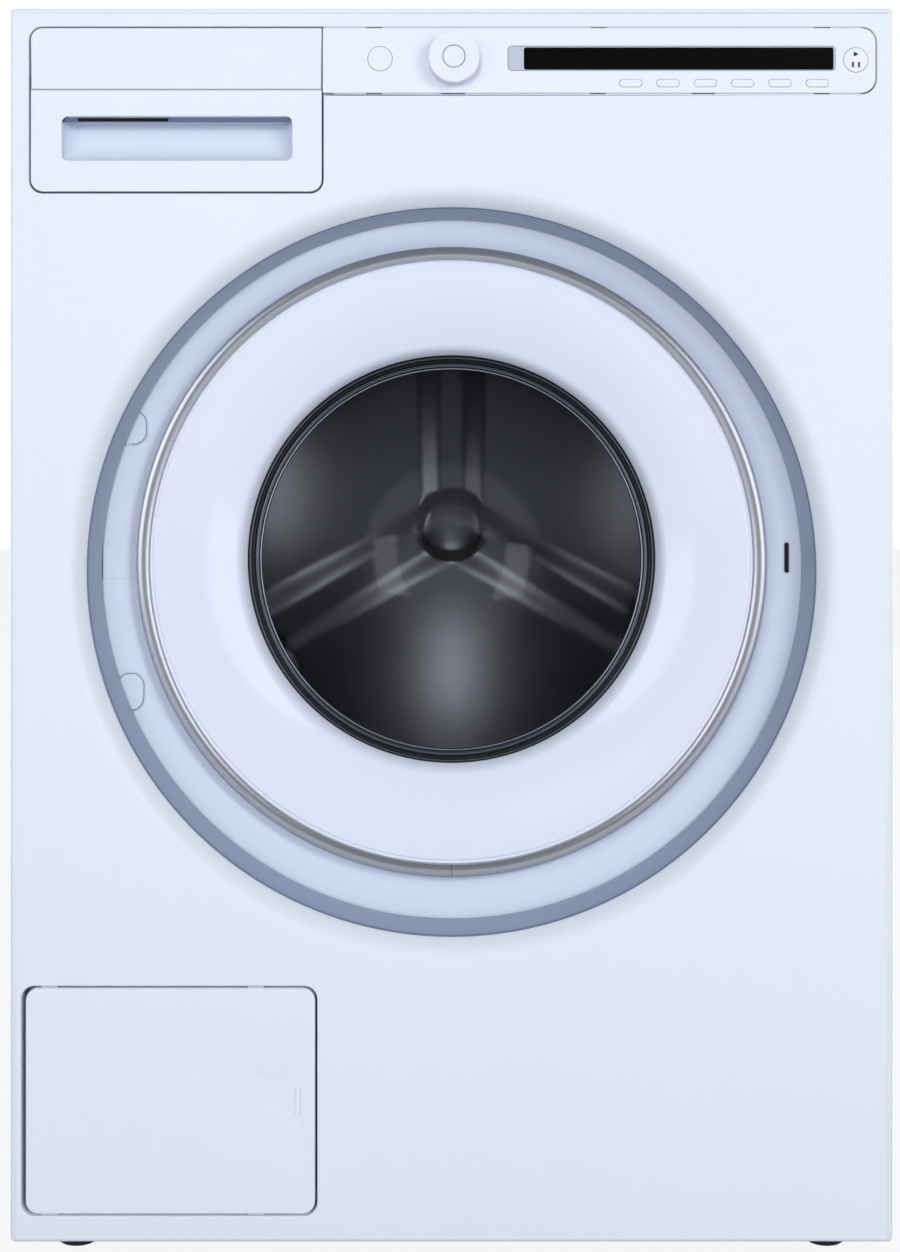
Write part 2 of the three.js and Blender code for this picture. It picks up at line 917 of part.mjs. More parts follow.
// White frame between the ring and the glass
function doorFrame() {
  const outer = ringInner - seam;
  const seat = ringCrestBack + seam;
  const radii = Array.from({ length: dishSteps + 1 },
    (_, i) => outer + (frameHole - outer) * i / dishSteps);
  const face = radii.map((radius) => [radius, dishDepth(radius)]);
  const back = radii.slice(1, -1).reverse()
    .map((radius) => [radius, dishDepth(radius) + frameWall]);
  const hole = frameHole - frameLip;
  const frame = turned([
    [frameRim, frameEnd], [frameRim, seat], [outer, seat], ...face,
    [hole, dishDepth(frameHole) + frameLip], [hole, frameEnd],
    [hole + frameWall, frameEnd],
    [hole + frameWall + frameLip, dishDepth(frameHole) + frameWall + frameLip],
    ...back, [outer, seat + frameWall], [frameRim - frameWall, seat + frameWall],
    [frameRim - frameWall, frameEnd],
  ], doorSteps, 0, axisHeight);
  return without(frame, hingePocket(ringCrestBack - seam));
}

// Inner frame that clamps the glass and carries the catch
function doorInnerFrame() {
  const shelf = glassFlange + seam;
  const shelfDepth = innerFrameFront + glassFlangeWall + seam;
  const back = innerFrameFront + innerFrameWall;
  const frame = turned([
    [shelf, innerFrameFront], [innerFrameRim, innerFrameFront], [innerFrameRim, back],
    [shelf + innerFrameWall, back], [shelf + innerFrameLip, innerFrameBack],
    [innerFrameHole, innerFrameBack], [innerFrameHole, shelfDepth], [shelf, shelfDepth],
  ], doorSteps, 0, axisHeight);
  const low = axisHeight - catchHeight / 2;
  const high = axisHeight + catchHeight / 2;
  const tip = back + catchReach;
  const hook = upright(polygon([
    [catchX - catchWall, back - seam], [catchX, back - seam], [catchX, tip],
    [catchX - catchWall - catchHook, tip], [catchX - catchWall, tip - catchHook],
  ]), low, high);
  return joined(without(frame, hingePocket(0)), hook);
}

// Glass bowl with its clamped flange
function doorGlass() {
  const near = innerFrameFront;
  const flangeBack = near + glassFlangeWall;
  const deep = glassDepth - glassWall;
  const inside = bowlCurve(glassMouth, near, deep);
  const outside = bowlCurve(glassMouth + glassWall, flangeBack, deep + glassWall
    - glassFlangeWall).reverse();
  return turned([
    [0, near + deep], ...inside.reverse().slice(1), [glassFlange, near],
    [glassFlange, flangeBack], ...outside.reverse().slice(0, -1), [0, near + glassDepth],
  ], doorSteps, 0, axisHeight);
}

// The bowl narrows slowly at first and then rounds over to a flat bottom
function bowlCurve(mouth, near, deep) {
  return Array.from({ length: bowlSteps + 1 }, (_, i) => {
    const share = i / bowlSteps;
    const turn = share * Math.PI / 2;
    const radius = (mouth - glassTaper * Math.sin(turn) ** 2) * Math.cos(turn) ** (1 / glassRound);
    return [i === bowlSteps ? 0 : radius, near + deep * Math.sin(turn) ** glassRound];
  });
}

// Fixed half of the hinge: two lugs that reach forward from the tub front and carry the pin
function hingeBracket() {
  const left = hingeX - hingeEye;
  const right = hingeX + bracketInner;
  const far = tubFrontDepth - seam;
  const lug = (side) => {
    const low = axisHeight + side * (forkSpread + forkWall / 2) - forkWall / 2;
    return joined(box(left, right, hingeDepth, far, low, low + forkWall),
      rodUp(hingeEye, low, low + forkWall, boreSteps, hingeX, hingeDepth));
  };
  const reach = forkSpread + forkWall;
  const foot = box(left, right, bracketFoot, far, axisHeight - reach, axisHeight + reach);
  const pin = rodUp(hingePin, axisHeight - reach, axisHeight + reach, boreSteps, hingeX,
    hingeDepth);
  return joined(lug(-1), lug(1), foot, pin);
}

// Moving half of the hinge: an eye round the pin, a leg and a neck that curls round the foot of
// the recess, a face flush with the floor of the recess, and a leaf on the inner frame
function hingeArm() {
  const low = axisHeight - forkSpread + seam;
  const high = axisHeight + forkSpread - seam;
  const half = armWall / 2;
  const around = (radius, degrees) => {
    const angle = degrees * Math.PI / 180;
    return [hingeX + radius * Math.cos(angle), hingeDepth + radius * Math.sin(angle)];
  };
  const bend = (radius, from, to) => Array.from({ length: neckSteps + 1 },
    (_, i) => around(radius, from + (to - from) * i / neckSteps));
  const floorDepth = (x) => surroundFront
    + surroundSlope * ((surroundRadius + x) / (surroundRadius - surroundWell)) ** 2;
  const [tipX] = around(neckRadius, neckTip);
  const middleX = (tipX - surroundWell) / 2;
  const wellX = -surroundWell - seam;
  const far = innerFrameFront - seam;
  const leafLeft = pocketRight + seam;
  const neck = upright(polygon([
    [tipX, floorDepth(tipX)], [middleX, floorDepth(middleX)], [wellX, far - armWall],
    [leafLeft + armLeaf, far - armWall], [leafLeft + armLeaf, far], [wellX - half, far],
    [middleX - half, floorDepth(middleX) + armWall],
    ...bend(neckRadius + half, neckRoot, neckTurn), ...bend(neckRadius - half, neckTurn, neckTip),
  ]), low, high);
  const side = around(half, neckTurn + 90);
  const offset = [side[0] - hingeX, side[1] - hingeDepth];
  const end = around(neckRadius + half, neckTurn);
  const leg = upright(polygon([
    side, [hingeX - offset[0], hingeDepth - offset[1]],
    [end[0] - offset[0], end[1] - offset[1]], [end[0] + offset[0], end[1] + offset[1]],
  ]), low, high);
  const eye = rodUp(hingeEye, low, high, boreSteps, hingeX, hingeDepth);
  const bore = rodUp(hingePin + seam, low - overrun, high + overrun, boreSteps, hingeX,
    hingeDepth);
  return without(joined(eye, leg, neck), bore);
}

// Floor of the recess and the well in which the door lies
function doorSurround() {
  const slope = Array.from({ length: filletSteps + 1 }, (_, i) => {
    const share = i / filletSteps;
    const radius = surroundRadius - (surroundRadius - surroundWell) * share;
    return [radius, surroundFront + surroundSlope * share * share];
  });
  const under = slope.slice(0, -1).reverse()
    .map(([radius, depth]) => [radius, depth + surroundWall]);
  const wellFar = surroundWellDepth + surroundWall;
  const pan = turned([
    ...slope, [surroundWell, surroundWellDepth], [surroundHole, surroundWellDepth],
    [surroundHole, wellFar], [surroundWell + surroundWall, wellFar],
    [surroundWell + surroundWall, surroundFront + surroundSlope + surroundWall], ...under,
  ], recessSteps, 0, axisHeight);
  const mid = axisHeight + latchSlotRise;
  const slot = box(latchSlotX - latchSlotWidth / 2, latchSlotX + latchSlotWidth / 2,
    surroundFront - overrun, surroundWellDepth, mid - latchSlotHeight / 2,
    mid + latchSlotHeight / 2);
  const mouth = box(catchX - catchMouth - catchWall, catchX + catchMouth,
    surroundWellDepth - overrun, wellFar + overrun, axisHeight - catchHeight,
    axisHeight + catchHeight);
  const grooves = [-1, 1].map((side) => hingeCoverGrooveCut(side, pan));
  const armSlot = box(-surroundRadius - overrun, pocketMargin - surroundWell,
    surroundFront - overrun, surroundFront + surroundSlope + overrun + surroundWall,
    axisHeight - forkSpread - seam, axisHeight + forkSpread + seam);
  return largest(without(pan, slot, mouth, armSlot, ...grooves));
}

// Groove round one hinge cover pressed into the floor of the recess
function hingeCoverGrooveCut(side, pan) {
  const mid = axisHeight + side * hingeCoverSpread;
  const outline = (inset) => depthwise(rectangle(
    hingeCoverX - hingeCoverWidth / 2 + inset, hingeCoverX + hingeCoverWidth / 2 - inset,
    mid - hingeCoverHeight / 2 + inset, mid + hingeCoverHeight / 2 - inset,
    evenly(hingeCoverWidth / 2 - inset - seam)), 0, surroundWellDepth);
  const band = without(outline(0), outline(hingeCoverGroove));
  return without(band.intersect(pan), pan.translate([0, hingeCoverDepth, 0]));
}

// Door lock behind the surround, with a mouth for the catch and a dark tongue at the slot
function doorLock() {
  const near = surroundWellDepth + surroundWall + seam;
  const block = box(lockLeft, lockRight, near, near + lockDepth, axisHeight - lockHeight / 2,
    axisHeight + lockHeight / 2);
  const mid = axisHeight + latchSlotRise;
  const tongue = box(lockTongueLeft, lockRight, lockTongueFront, near + lockDepth / 2,
    mid - lockTongueHeight / 2, mid + lockTongueHeight / 2);
  const mouth = box(catchX - catchMouth - catchWall, catchX + catchMouth, near - overrun,
    near + lockDepth - lockDepth / catchMouth, axisHeight - catchHeight,
    axisHeight + catchHeight);
  return without(joined(block, tongue), mouth);
}

// Rear half of the tub: barrel, back wall with ribs, bearing hub and sump
function tubShell() {
  const near = tubFrontDepth + tubFrontWall + seam;
  const quarter = Math.PI / 2;
  const inner = tubRadius - tubWall;
  const round = arc(tubRadius - tubBackRound, tubBack - tubBackRound, tubBackRound, 0, quarter,
    filletSteps);
  const innerRound = arc(tubRadius - tubBackRound, tubBack - tubBackRound,
    tubBackRound - tubWall, quarter, 0, filletSteps);
  const barrel = turned([
    [inner, near], [tubFlange, near], [tubFlange, near + tubFlangeWall],
    [tubRadius, near + tubFlangeWall], ...round, [hubRadius, tubBack], [hubRadius, hubEnd],
    [shaftRadius + seam + seam, hubEnd], [shaftRadius + seam + seam, tubBack - tubBackWall],
    ...innerRound.slice(0, -1), [inner, tubBack - tubBackRound],
  ], tubSteps, 0, axisHeight);
  const sump = box(sumpLeft, sumpRight, sumpNear, sumpFar, sumpFloor, axisHeight - inner / 2);
  const sumpInside = box(sumpLeft + sumpWall, sumpRight - sumpWall, sumpNear + sumpWall,
    sumpFar - sumpWall, sumpFloor + sumpWall, axisHeight);
  const inside = rod(inner, near - overrun, tubBack - tubBackRound, tubSteps, 0, axisHeight);
  const ribs = angles(ribCount, firstArmAngle / ribCount).map((angle) => spoke(angle,
    hubRadius - bury, tubRadius - tubBackRound, ribWall, tubBack - tubBackWall / 2,
    tubBack + ribHeight));
  const brackets = damperPlaces().map(([x, depth]) => box(x - damperBracket,
    x + damperBracket, depth - damperBracket, depth + damperBracket, damperBracketFoot,
    axisHeight - tubRadius / 3));
  const rods = damperPlaces().map(([x, depth]) => rodUp(damperRod, damperRodFoot,
    damperBracketFoot + bury, boreSteps, x, depth));
  const lug = spoke(motorAngle, tubRadius - tubWall / 2, motorSpan - motorRadius - seam,
    motorPadWidth, motorPadNear, motorPadFar);
  const spigot = rodUp(pumpPipe, sumpSpigotFoot, sumpFloor + sumpWall / 2, boreSteps,
    pumpInletX, pumpInletDepth);
  const drain = rodUp(pumpPipeBore, sumpSpigotFoot - overrun, sumpFloor + sumpWall + overrun,
    boreSteps, pumpInletX, pumpInletDepth);
  const fillLow = axisHeight + Math.sqrt(inner ** 2 - drawerMiddle ** 2);
  const fill = rodUp(housingSpigot, fillLow - overrun, tubSpigotTop, boreSteps, drawerMiddle,
    housingSpigotDepth);
  const fillBore = rodUp(housingSpigot - tubWall, fillLow - 3 * overrun,
    tubSpigotTop + overrun, boreSteps, drawerMiddle, housingSpigotDepth);
  const bearingSeat = rod(bearingRadius, bearingNear, hubEnd + overrun, hiddenSteps, 0,
    axisHeight);
  const heaterSlot = box(heaterLeft - 2 * heaterTube, heaterRight + 2 * heaterTube,
    sumpFar - sumpWall - overrun, tubBack + overrun, heaterHeight - heaterTube - seam,
    heaterHeight + heaterTube + seam);
  const heaterBoss = box(heaterLeft - heaterFlangeHeight, heaterRight + heaterFlangeHeight,
    sumpFar - sumpWall, tubBack, sumpFloor, axisHeight - tubRadius + tubBackRound);
  const shell = without(joined(barrel, sump, heaterBoss, ...brackets, lug, fill), inside,
    sumpInside);
  return without(joined(shell, ...ribs, ...rods, spigot), drain, fillBore, bearingSeat,
    heaterSlot);
}

// Front of the tub: a plate with the mouth collar and the posts for the surround
function tubFront() {
  const far = tubFrontDepth + tubFrontWall;
  const plate = turned([
    [collarRadius - collarWall, collarFront], [collarRadius, collarFront],
    [collarRadius, tubFrontDepth], [tubFlange, tubFrontDepth], [tubFlange, far],
    [collarRadius - collarWall, far],
  ], doorSteps, 0, axisHeight);
  const near = surroundWellDepth + surroundWall + seam;
  const posts = angles(postCount, Math.PI / postCount).map((angle) => rod(postSize, near,
    far - tubFrontWall / 2, boreSteps, postRadius * Math.cos(angle),
    axisHeight + postRadius * Math.sin(angle)));
  return joined(plate, ...posts);
}

// Rubber seal folded over the front edge of the collar
function doorSeal() {
  const near = innerFrameBack + seam;
  const inner = collarRadius - collarWall - seam;
  const outer = collarRadius + seam;
  const far = collarFront + sealSkirt;
  return turned([
    [inner - sealWall, near], [outer + sealWall, near],
    [outer + sealWall, surroundWellDepth - seam], [outer, surroundWellDepth - seam],
    [outer, collarFront - seam], [inner, collarFront - seam], [inner, far],
    [inner - sealWall, far], [inner - sealWall, near + seatDepth],
    [sealLip, near + seatDepth], [sealLip, near + seatDepth / 2],
  ], doorSteps, 0, axisHeight);
}

// Cast counterweight on the tub front, open at the right for the lock
function counterweight() {
  const far = tubFrontDepth - seam;
  const ring = pipe(weightOuter, weightInner, far - weightWall, far, tubSteps, 0, axisHeight);
  const gap = box(0, weightOuter + overrun, far - weightWall - overrun, far + overrun,
    axisHeight - weightGap, axisHeight + weightGap);
  return without(ring, gap);
}

function drumBearing() {
  return pipe(bearingRadius - seam, shaftRadius + seam, bearingNear + seam, bearingFar,
    hiddenSteps, 0, axisHeight);
}

// Drum: one rolled barrel with a curled mouth and a back with a boss and three ridges
function drumShell() {
  const quarter = Math.PI / 2;
  const inner = drumRadius - drumWall;
  const frontIn = drumFront + drumWall;
  const backIn = drumBack - drumWall;
  const curl = drumMouth - drumWall;
  const shell = turned([
    [0, backIn - bossRise], [bossRadius - bossRound, backIn - bossRise],
    [bossRadius, backIn - bossRise + bossRound], [bossRadius + bossRound, backIn],
    [inner - drumCorner, backIn], [inner, backIn - drumCorner],
    [inner, frontIn + drumCorner], [inner - drumCorner, frontIn],
    [drumMouth + drumWall, frontIn], [drumMouth, frontIn + drumWall],
    [drumMouth, drumFront + drumMouthCurl], [curl, drumFront + drumMouthCurl],
    [curl, drumFront + drumWall], [drumMouth + drumWall, drumFront],
    [drumRadius - drumCorner, drumFront], [drumRadius, drumFront + drumCorner],
    [drumRadius, drumBack - drumCorner], [drumRadius - drumCorner, drumBack],
    [bossRadius + bossRound - drumWall, drumBack],
    [bossRadius - drumWall, backIn - bossRise + bossRound],
    [bossRadius - bossRound - drumWall, backIn - bossRise + drumWall],
    [0, backIn - bossRise + drumWall],
  ], drumSteps, 0, axisHeight);
  const ridges = angles(lifterCount, firstArmAngle).map((angle) => ridge(angle, backIn));
  return joined(shell, ...ridges);
}

// Embossed ridge on the drum back, sloping on both flanks and at its outer end
function ridge(angle, backIn) {
  const wide = ridgeWidth / 2;
  const narrow = wide - ridgeInset;
  const low = backIn + drumWall / 2;
  const outline = new THREE.Shape([
    new THREE.Vector2(-wide, low), new THREE.Vector2(-narrow, backIn - ridgeRise),
    new THREE.Vector2(narrow, backIn - ridgeRise), new THREE.Vector2(wide, low),
  ]);
  const geometry = new THREE.ExtrudeGeometry(outline, {
    depth: ridgeEnd - ridgeStart,
    bevelEnabled: false,
  });
  const across = new THREE.Vector3(Math.sin(angle), 0, -Math.cos(angle));
  const along = new THREE.Vector3(0, 1, 0);
  const out = new THREE.Vector3(Math.cos(angle), 0, Math.sin(angle));
  geometry.translate(0, 0, ridgeStart);
  geometry.applyMatrix4(new THREE.Matrix4().makeBasis(across, along, out));
  geometry.translate(0, 0, axisHeight);
  return solid(geometry);
}

// Lifter inside the drum: a pressed sheet, open towards the barrel
function lifter(angle) {
  const room = rod(drumRadius - drumWall - seam, lifterNear - overrun, lifterFar + overrun,
    drumSteps, 0, axisHeight);
  return without(lifterBlock(angle, 0), lifterBlock(angle, lifterSheet)).intersect(room);
}

// Block with the lifter's outline, rounded along its crest and drawn in by an inset
function lifterBlock(angle, inset) {
  const outer = drumRadius + lifterBevel + inset;
  const top = drumRadius - drumWall - lifterHeight + lifterBevel;
  const base = lifterBase / 2 - lifterBevel;
  const crest = lifterTop / 2 - lifterBevel / 2;
  const bevel = lifterBevel - inset;
  const outline = new THREE.Shape([
    new THREE.Vector2(outer, -base), new THREE.Vector2(top, -crest),
    new THREE.Vector2(top, crest), new THREE.Vector2(outer, base),
  ]);
  const geometry = new THREE.ExtrudeGeometry(outline, {
    depth: lifterFar - lifterNear - 2 * lifterBevel,
    bevelSize: bevel,
    bevelThickness: bevel,
    bevelSegments: 2,
  });
  geometry.rotateX(Math.PI / 2);
  geometry.translate(0, lifterFar - lifterBevel, 0);
  geometry.rotateY(-angle);
  geometry.translate(0, 0, axisHeight);
  return solid(geometry);
}

// Three-armed spider with the drum shaft
function drumSpider() {
  const near = drumBack + seam;
  const arms = angles(lifterCount, firstArmAngle).map((angle) => joined(
    spoke(angle, 0, spiderReach, spiderArmWidth, near, near + spiderArmWall),
    spoke(angle, 0, spiderReach / 2, ribWall * 2, near, spiderHubEnd)));
  const hub = turned([
    [0, near], [spiderHub, near], [spiderHub, near + spiderArmWall],
    [shaftRadius + bury, spiderHubEnd], [shaftRadius, spiderHubEnd],
    [shaftRadius, hubEnd + seam], [shaftStep, hubEnd + seam], [shaftStep, shaftEnd],
    [0, shaftEnd],
  ], hiddenSteps, 0, axisHeight);
  return joined(hub, ...arms);
}

// Large pulley on the end of the drum shaft
function drumPulleyWheel() {
  const far = beltNear + beltWidth + motorPulleyFlangeWall;
  const near = beltNear - motorPulleyFlangeWall;
  const rim = pipe(drumPulley, drumPulley - pulleyRim, near, far, tubSteps, 0, axisHeight);
  const webNear = beltNear + pulleySpokeWall;
  const spokes = angles(pulleySpokes).map((angle) => spoke(angle, pulleyHub - bury,
    drumPulley - pulleyRim + bury, pulleySpokeWidth, webNear, webNear + pulleySpokeWall));
  const hub = rod(pulleyHub, hubEnd + 2 * seam + seam, far, hiddenSteps, 0, axisHeight);
  const bore = rod(shaftStep + seam, hubEnd, far + overrun, hiddenSteps, 0, axisHeight);
  return without(joined(rim, hub, ...spokes), bore);
}

// Outline of a belt round the two pulleys, each grown by a margin
function beltOutline(grow) {
  const big = drumPulley + grow;
  const small = motorPulley + grow;
  const wrap = Math.acos((big - small) / motorSpan);
  const shape = new THREE.Shape();
  shape.absarc(0, axisHeight, big, motorAngle + wrap, motorAngle - wrap + 2 * Math.PI, false);
  shape.absarc(motorX, motorHeight, small, motorAngle - wrap, motorAngle + wrap, false);
  return shape;
}

function driveBelt() {
  const near = beltNear;
  const far = beltNear + beltWidth;
  return without(depthwise(beltOutline(beltClearance + beltWall), near, far, beltSteps),
    depthwise(beltOutline(beltClearance), near - overrun, far + overrun, beltSteps));
}

// Motor with cooling ribs, end caps and a pad under the tub's lug
function motor() {
  const pitch = (motorFar - motorNear) / (2 * motorFins + 1);
  const fins = Array.from({ length: motorFins }, (_, i) => {
    const start = motorNear + pitch * (2 * i + 1);
    const root = motorRadius - motorFinDepth;
    return [[motorRadius, start], [root, start], [root, start + pitch],
      [motorRadius, start + pitch]];
  }).flat();
  const cap = motorRadius - motorCapInset;
  const body = turned([
    [0, motorNear - motorCap], [cap, motorNear - motorCap], [motorRadius, motorNear],
    ...fins, [motorRadius, motorFar], [cap, motorFar + motorCap],
    [motorShaft + seam, motorFar + motorCap], [motorShaft + seam, motorNear + motorCap],
    [0, motorNear + motorCap],
  ], hiddenSteps, motorX, motorHeight);
  const pad = spoke(motorAngle, motorSpan - motorRadius, motorSpan - motorRadius / 2,
    motorPadWidth, motorPadNear, motorPadFar);
  return joined(body, pad);
}

// Small pulley with its shaft
function motorPulleyWheel() {
  const near = beltNear - motorPulleyFlangeWall - seam;
  const far = beltNear + beltWidth + motorPulleyFlangeWall + seam;
  const flange = motorPulley + motorPulleyFlange;
  return turned([
    [0, motorNear + motorCap + seam], [motorShaft, motorNear + motorCap + seam],
    [motorShaft, near], [flange, near], [flange, beltNear - seam], [motorPulley, beltNear - seam],
    [motorPulley, beltNear + beltWidth + seam], [flange, beltNear + beltWidth + seam],
    [flange, far], [0, far],
  ], buttonSteps, motorX, motorHeight);
}

// Heating element: two legs and a half ring through a flange on the back of the tub
function heater() {
  const far = tubBack + heaterFlangeWall / 2;
  const bend = (heaterRight - heaterLeft) / 2;
  const middle = (heaterLeft + heaterRight) / 2;
  const bendDepth = heaterNear + bend;
  const section = arc(bend, heaterHeight, heaterTube, 0, 2 * Math.PI, legSteps).slice(0, -1);
  const front = box(heaterLeft - overrun, heaterRight + overrun, heaterNear - overrun,
    bendDepth, heaterHeight - overrun, heaterHeight + overrun);
  const loop = turnedUp(section, hiddenSteps, middle, bendDepth).intersect(front);
  const legs = [heaterLeft, heaterRight].map((x) => rod(heaterTube, bendDepth - seam, far,
    legSteps, x, heaterHeight));
  const near = tubBack + seam;
  const flange = box(middle - heaterFlangeWidth / 2, middle + heaterFlangeWidth / 2, near,
    near + heaterFlangeWall, heaterHeight - heaterFlangeHeight / 2,
    heaterHeight + heaterFlangeHeight / 2);
  return joined(loop, ...legs, flange);
}

// Pump: filter chamber, pump motor, inlet pipe and legs in one moulding
function pumpBody() {
  const x = pumpX;
  const height = pumpHeight;
  const body = turned([
    [0, pumpMotorEnd], [pumpMotor, pumpMotorEnd], [pumpMotor, pumpChamberEnd],
    [pumpChamber, pumpChamberEnd], [pumpChamber, pumpFront + pumpMouthWall],
    [pumpMouth, pumpFront + pumpMouthWall], [pumpMouth, pumpFront], [pumpBore, pumpFront],
    [pumpBore, pumpBoreEnd], [0, pumpBoreEnd],
  ], hiddenSteps, x, height);
  const inletLow = height - pumpPipe;
  const across = crosswise(circle(pumpInletDepth, height, pumpPipe), x, pumpInletX,
    filletSteps * 3);
  const riser = rodUp(pumpPipe, inletLow, pumpInletTop, boreSteps, pumpInletX, pumpInletDepth);
  const riserBore = rodUp(pumpPipeBore, height, pumpInletTop + overrun, boreSteps, pumpInletX,
    pumpInletDepth);
  const floor = footReach + panSheet + seam;
  const leg = (depth, side) => box(x + side * pumpLegSpread - pumpLegWidth / 2,
    x + side * pumpLegSpread + pumpLegWidth / 2, depth, depth + pumpLegWidth, floor,
    height - pumpChamber / 2);
  const legs = [pumpFront + pumpMouthWall, pumpChamberEnd - pumpLegWidth]
    .flatMap((depth) => [leg(depth, -1), leg(depth, 1)]);
  const bore = rod(pumpBore, pumpFront - overrun, pumpBoreEnd, hiddenSteps, x, height);
  return without(joined(body, across, riser, ...legs), bore, riserBore);
}

function circle(a, b, radius) {
  const shape = new THREE.Shape();
  shape.absarc(a, b, radius, 0, 2 * Math.PI);
  return shape;
}

// Filter cap with its grip and the basket behind it
function filterCap() {
  const far = pumpFront - seam;
  const near = far - capWall;
  const basketNear = far - seam;
  const cap = rod(capRadius, near, far, buttonSteps, pumpX, pumpHeight);
  const grip = box(pumpX - capGripWidth / 2, pumpX + capGripWidth / 2, near - capGripReach,
    near + seam, pumpHeight - capRadius + capGripWidth, pumpHeight + capRadius - capGripWidth);
  const core = rod(basketCore, basketNear, basketEnd, boreSteps, pumpX, pumpHeight);
  const ring = rod(basketRadius, basketEnd - basketWall, basketEnd, buttonSteps, pumpX,
    pumpHeight);
  const ribs = [0, 1, 2].map((i) => spoke(Math.PI * i / 3, -basketRadius, basketRadius,
    basketWall, basketNear, basketEnd, pumpX, pumpHeight));
  return joined(cap, grip, core, ring, ...ribs);
}

// Ribbed hose on an upright axis between two ends
function hose(low, high, bore, x, depth) {
  const pitch = (high - low) / hoseRibs;
  const outer = Array.from({ length: hoseRibs }, (_, i) => [
    [bore + hoseWall, low + i * pitch],
    [bore + hoseWall + hoseRib, low + (i + 1 / 2) * pitch],
  ]).flat();
  return turnedUp([[bore, low], ...outer, [bore + hoseWall, high], [bore, high]], boreSteps, x,
    depth);
}

// Service hatch with its rim, pivot pins and finger groove
function hatch() {
  const plate = depthwise(rectangle(hatchLeft, hatchRight, hatchLow, hatchTop,
    evenly(hatchCorner)), 0, hatchPlate);
  const band = (inset, near, far) => depthwise(rectangle(hatchLeft + inset,
    hatchRight - inset, hatchLow + inset, hatchTop - inset, evenly(hatchCorner - inset)),
  near, far);
  const rim = without(band(hatchRimInset, hatchPlate / 2, hatchRim),
    band(hatchRimInset + hatchRimWall, 0, hatchRim + overrun));
  const pins = [
    [hatchLow - hatchPinReach, hatchLow + hatchRimInset + hatchRimWall / 2],
    [hatchTop - hatchRimInset - hatchRimWall / 2, hatchTop + hatchPinReach],
  ].map(([low, high]) => rodUp(hatchPin, low, high, buttonSteps, hatchPivotX,
    hatchPivotDepth));
  const grooveX = hatchRight - hatchGrooveInset;
  const mid = (hatchLow + hatchTop) / 2 - hatchGrooveDrop;
  const groove = depthwise(rectangle(grooveX - hatchGrooveWidth / 2,
    grooveX + hatchGrooveWidth / 2, mid - hatchGrooveHeight / 2, mid + hatchGrooveHeight / 2,
    evenly(hatchGrooveWidth / 2 - seam)), -overrun, hatchGrooveDepth);
  return without(joined(plate, rim, ...pins), groove);
}

// Drawer front with a rim behind it and the scooped finger recess
function drawerFront() {
  const radii = [drawerCorner, drawerCorner, 0, drawerCorner];
  const plate = depthwise(rectangle(drawerLeft, drawerRight, drawerLow, fasciaTop, radii), 0,
    drawerPlate);
  const band = (inset, near, far) => depthwise(rectangle(drawerLeft + inset,
    drawerRight - inset, drawerLow + inset, fasciaTop - inset,
    radii.map((radius) => Math.max(radius - inset, 0))), near, far);
  const rim = without(band(drawerRimInset, drawerPlate / 2, drawerRim),
    band(drawerRimInset + drawerRimWall, 0, drawerRim + overrun));
  const left = drawerLeft + handleLeftInset;
  const right = left + handleWidth;
  const low = drawerLow + handleRise;
  const high = low + handleHeight;
  const shell = box(left - handleShell, right + handleShell, drawerPlate / 2,
    handleDepth + handleShell, low - handleShell, high + handleSlit + handleShell);
  const scoop = crosswise(scoopOutline(low, high), left, right, filletSteps * 2);
  const mouth = depthwise(rectangle(left, right, low, high, evenly(handleCorner)), -overrun,
    drawerPlate / 2);
  return without(joined(plate, rim, shell), scoop, mouth);
}

// Section of the finger recess: it curves up to the back and hooks up behind the top edge
function scoopOutline(low, high) {
  const shape = new THREE.Shape();
  shape.moveTo(0, low);
  shape.quadraticCurveTo(handleDepth, low, handleDepth, (low + high) / 2);
  shape.lineTo(handleDepth, high + handleSlit);
  shape.lineTo(handleDepth - handleSlitDepth, high + handleSlit);
  shape.lineTo(handleDepth - handleSlitDepth, high);
  shape.lineTo(0, high);
  shape.closePath();
  return shape;
}

// Detergent tray: two wash compartments on the left, softener with its siphon on the right
function drawerTray() {
  const left = drawerLeft + traySideGap;
  const right = drawerRight - traySideGap;
  const near = trayNear;
  const far = near + trayLength;
  const high = trayLow + trayHeight;
  const outer = box(left, right, near, far, trayLow, high);
  const divide = left + (right - left) * trayDividerShare;
  const cross = near + trayLength * trayCrossShare;
  const floor = trayLow + trayWall;
  const wash = box(left + trayWall, divide, near + trayWall, cross, floor, high + overrun);
  const prewash = box(left + trayWall, divide, cross + trayWall, far - trayWall, floor,
    high + overrun);
  const softener = box(divide + trayWall, right - trayWall, near + trayWall, far - trayWall,
    floor, high + overrun);
  const outletWidth = (divide - left) / 2;
  const outlet = box(left + outletWidth / 2, left + outletWidth, far - trayWall - overrun,
    far + overrun, floor, floor + siphonRadius);
  const siphonX = (divide + right) / 2;
  const siphonDepth = far - 3 * siphonRadius;
  const siphon = rodUp(siphonRadius, trayLow + trayWall / 2, trayLow + siphonHeight, boreSteps,
    siphonX, siphonDepth);
  return joined(without(outer, wash, prewash, softener, outlet), siphon);
}

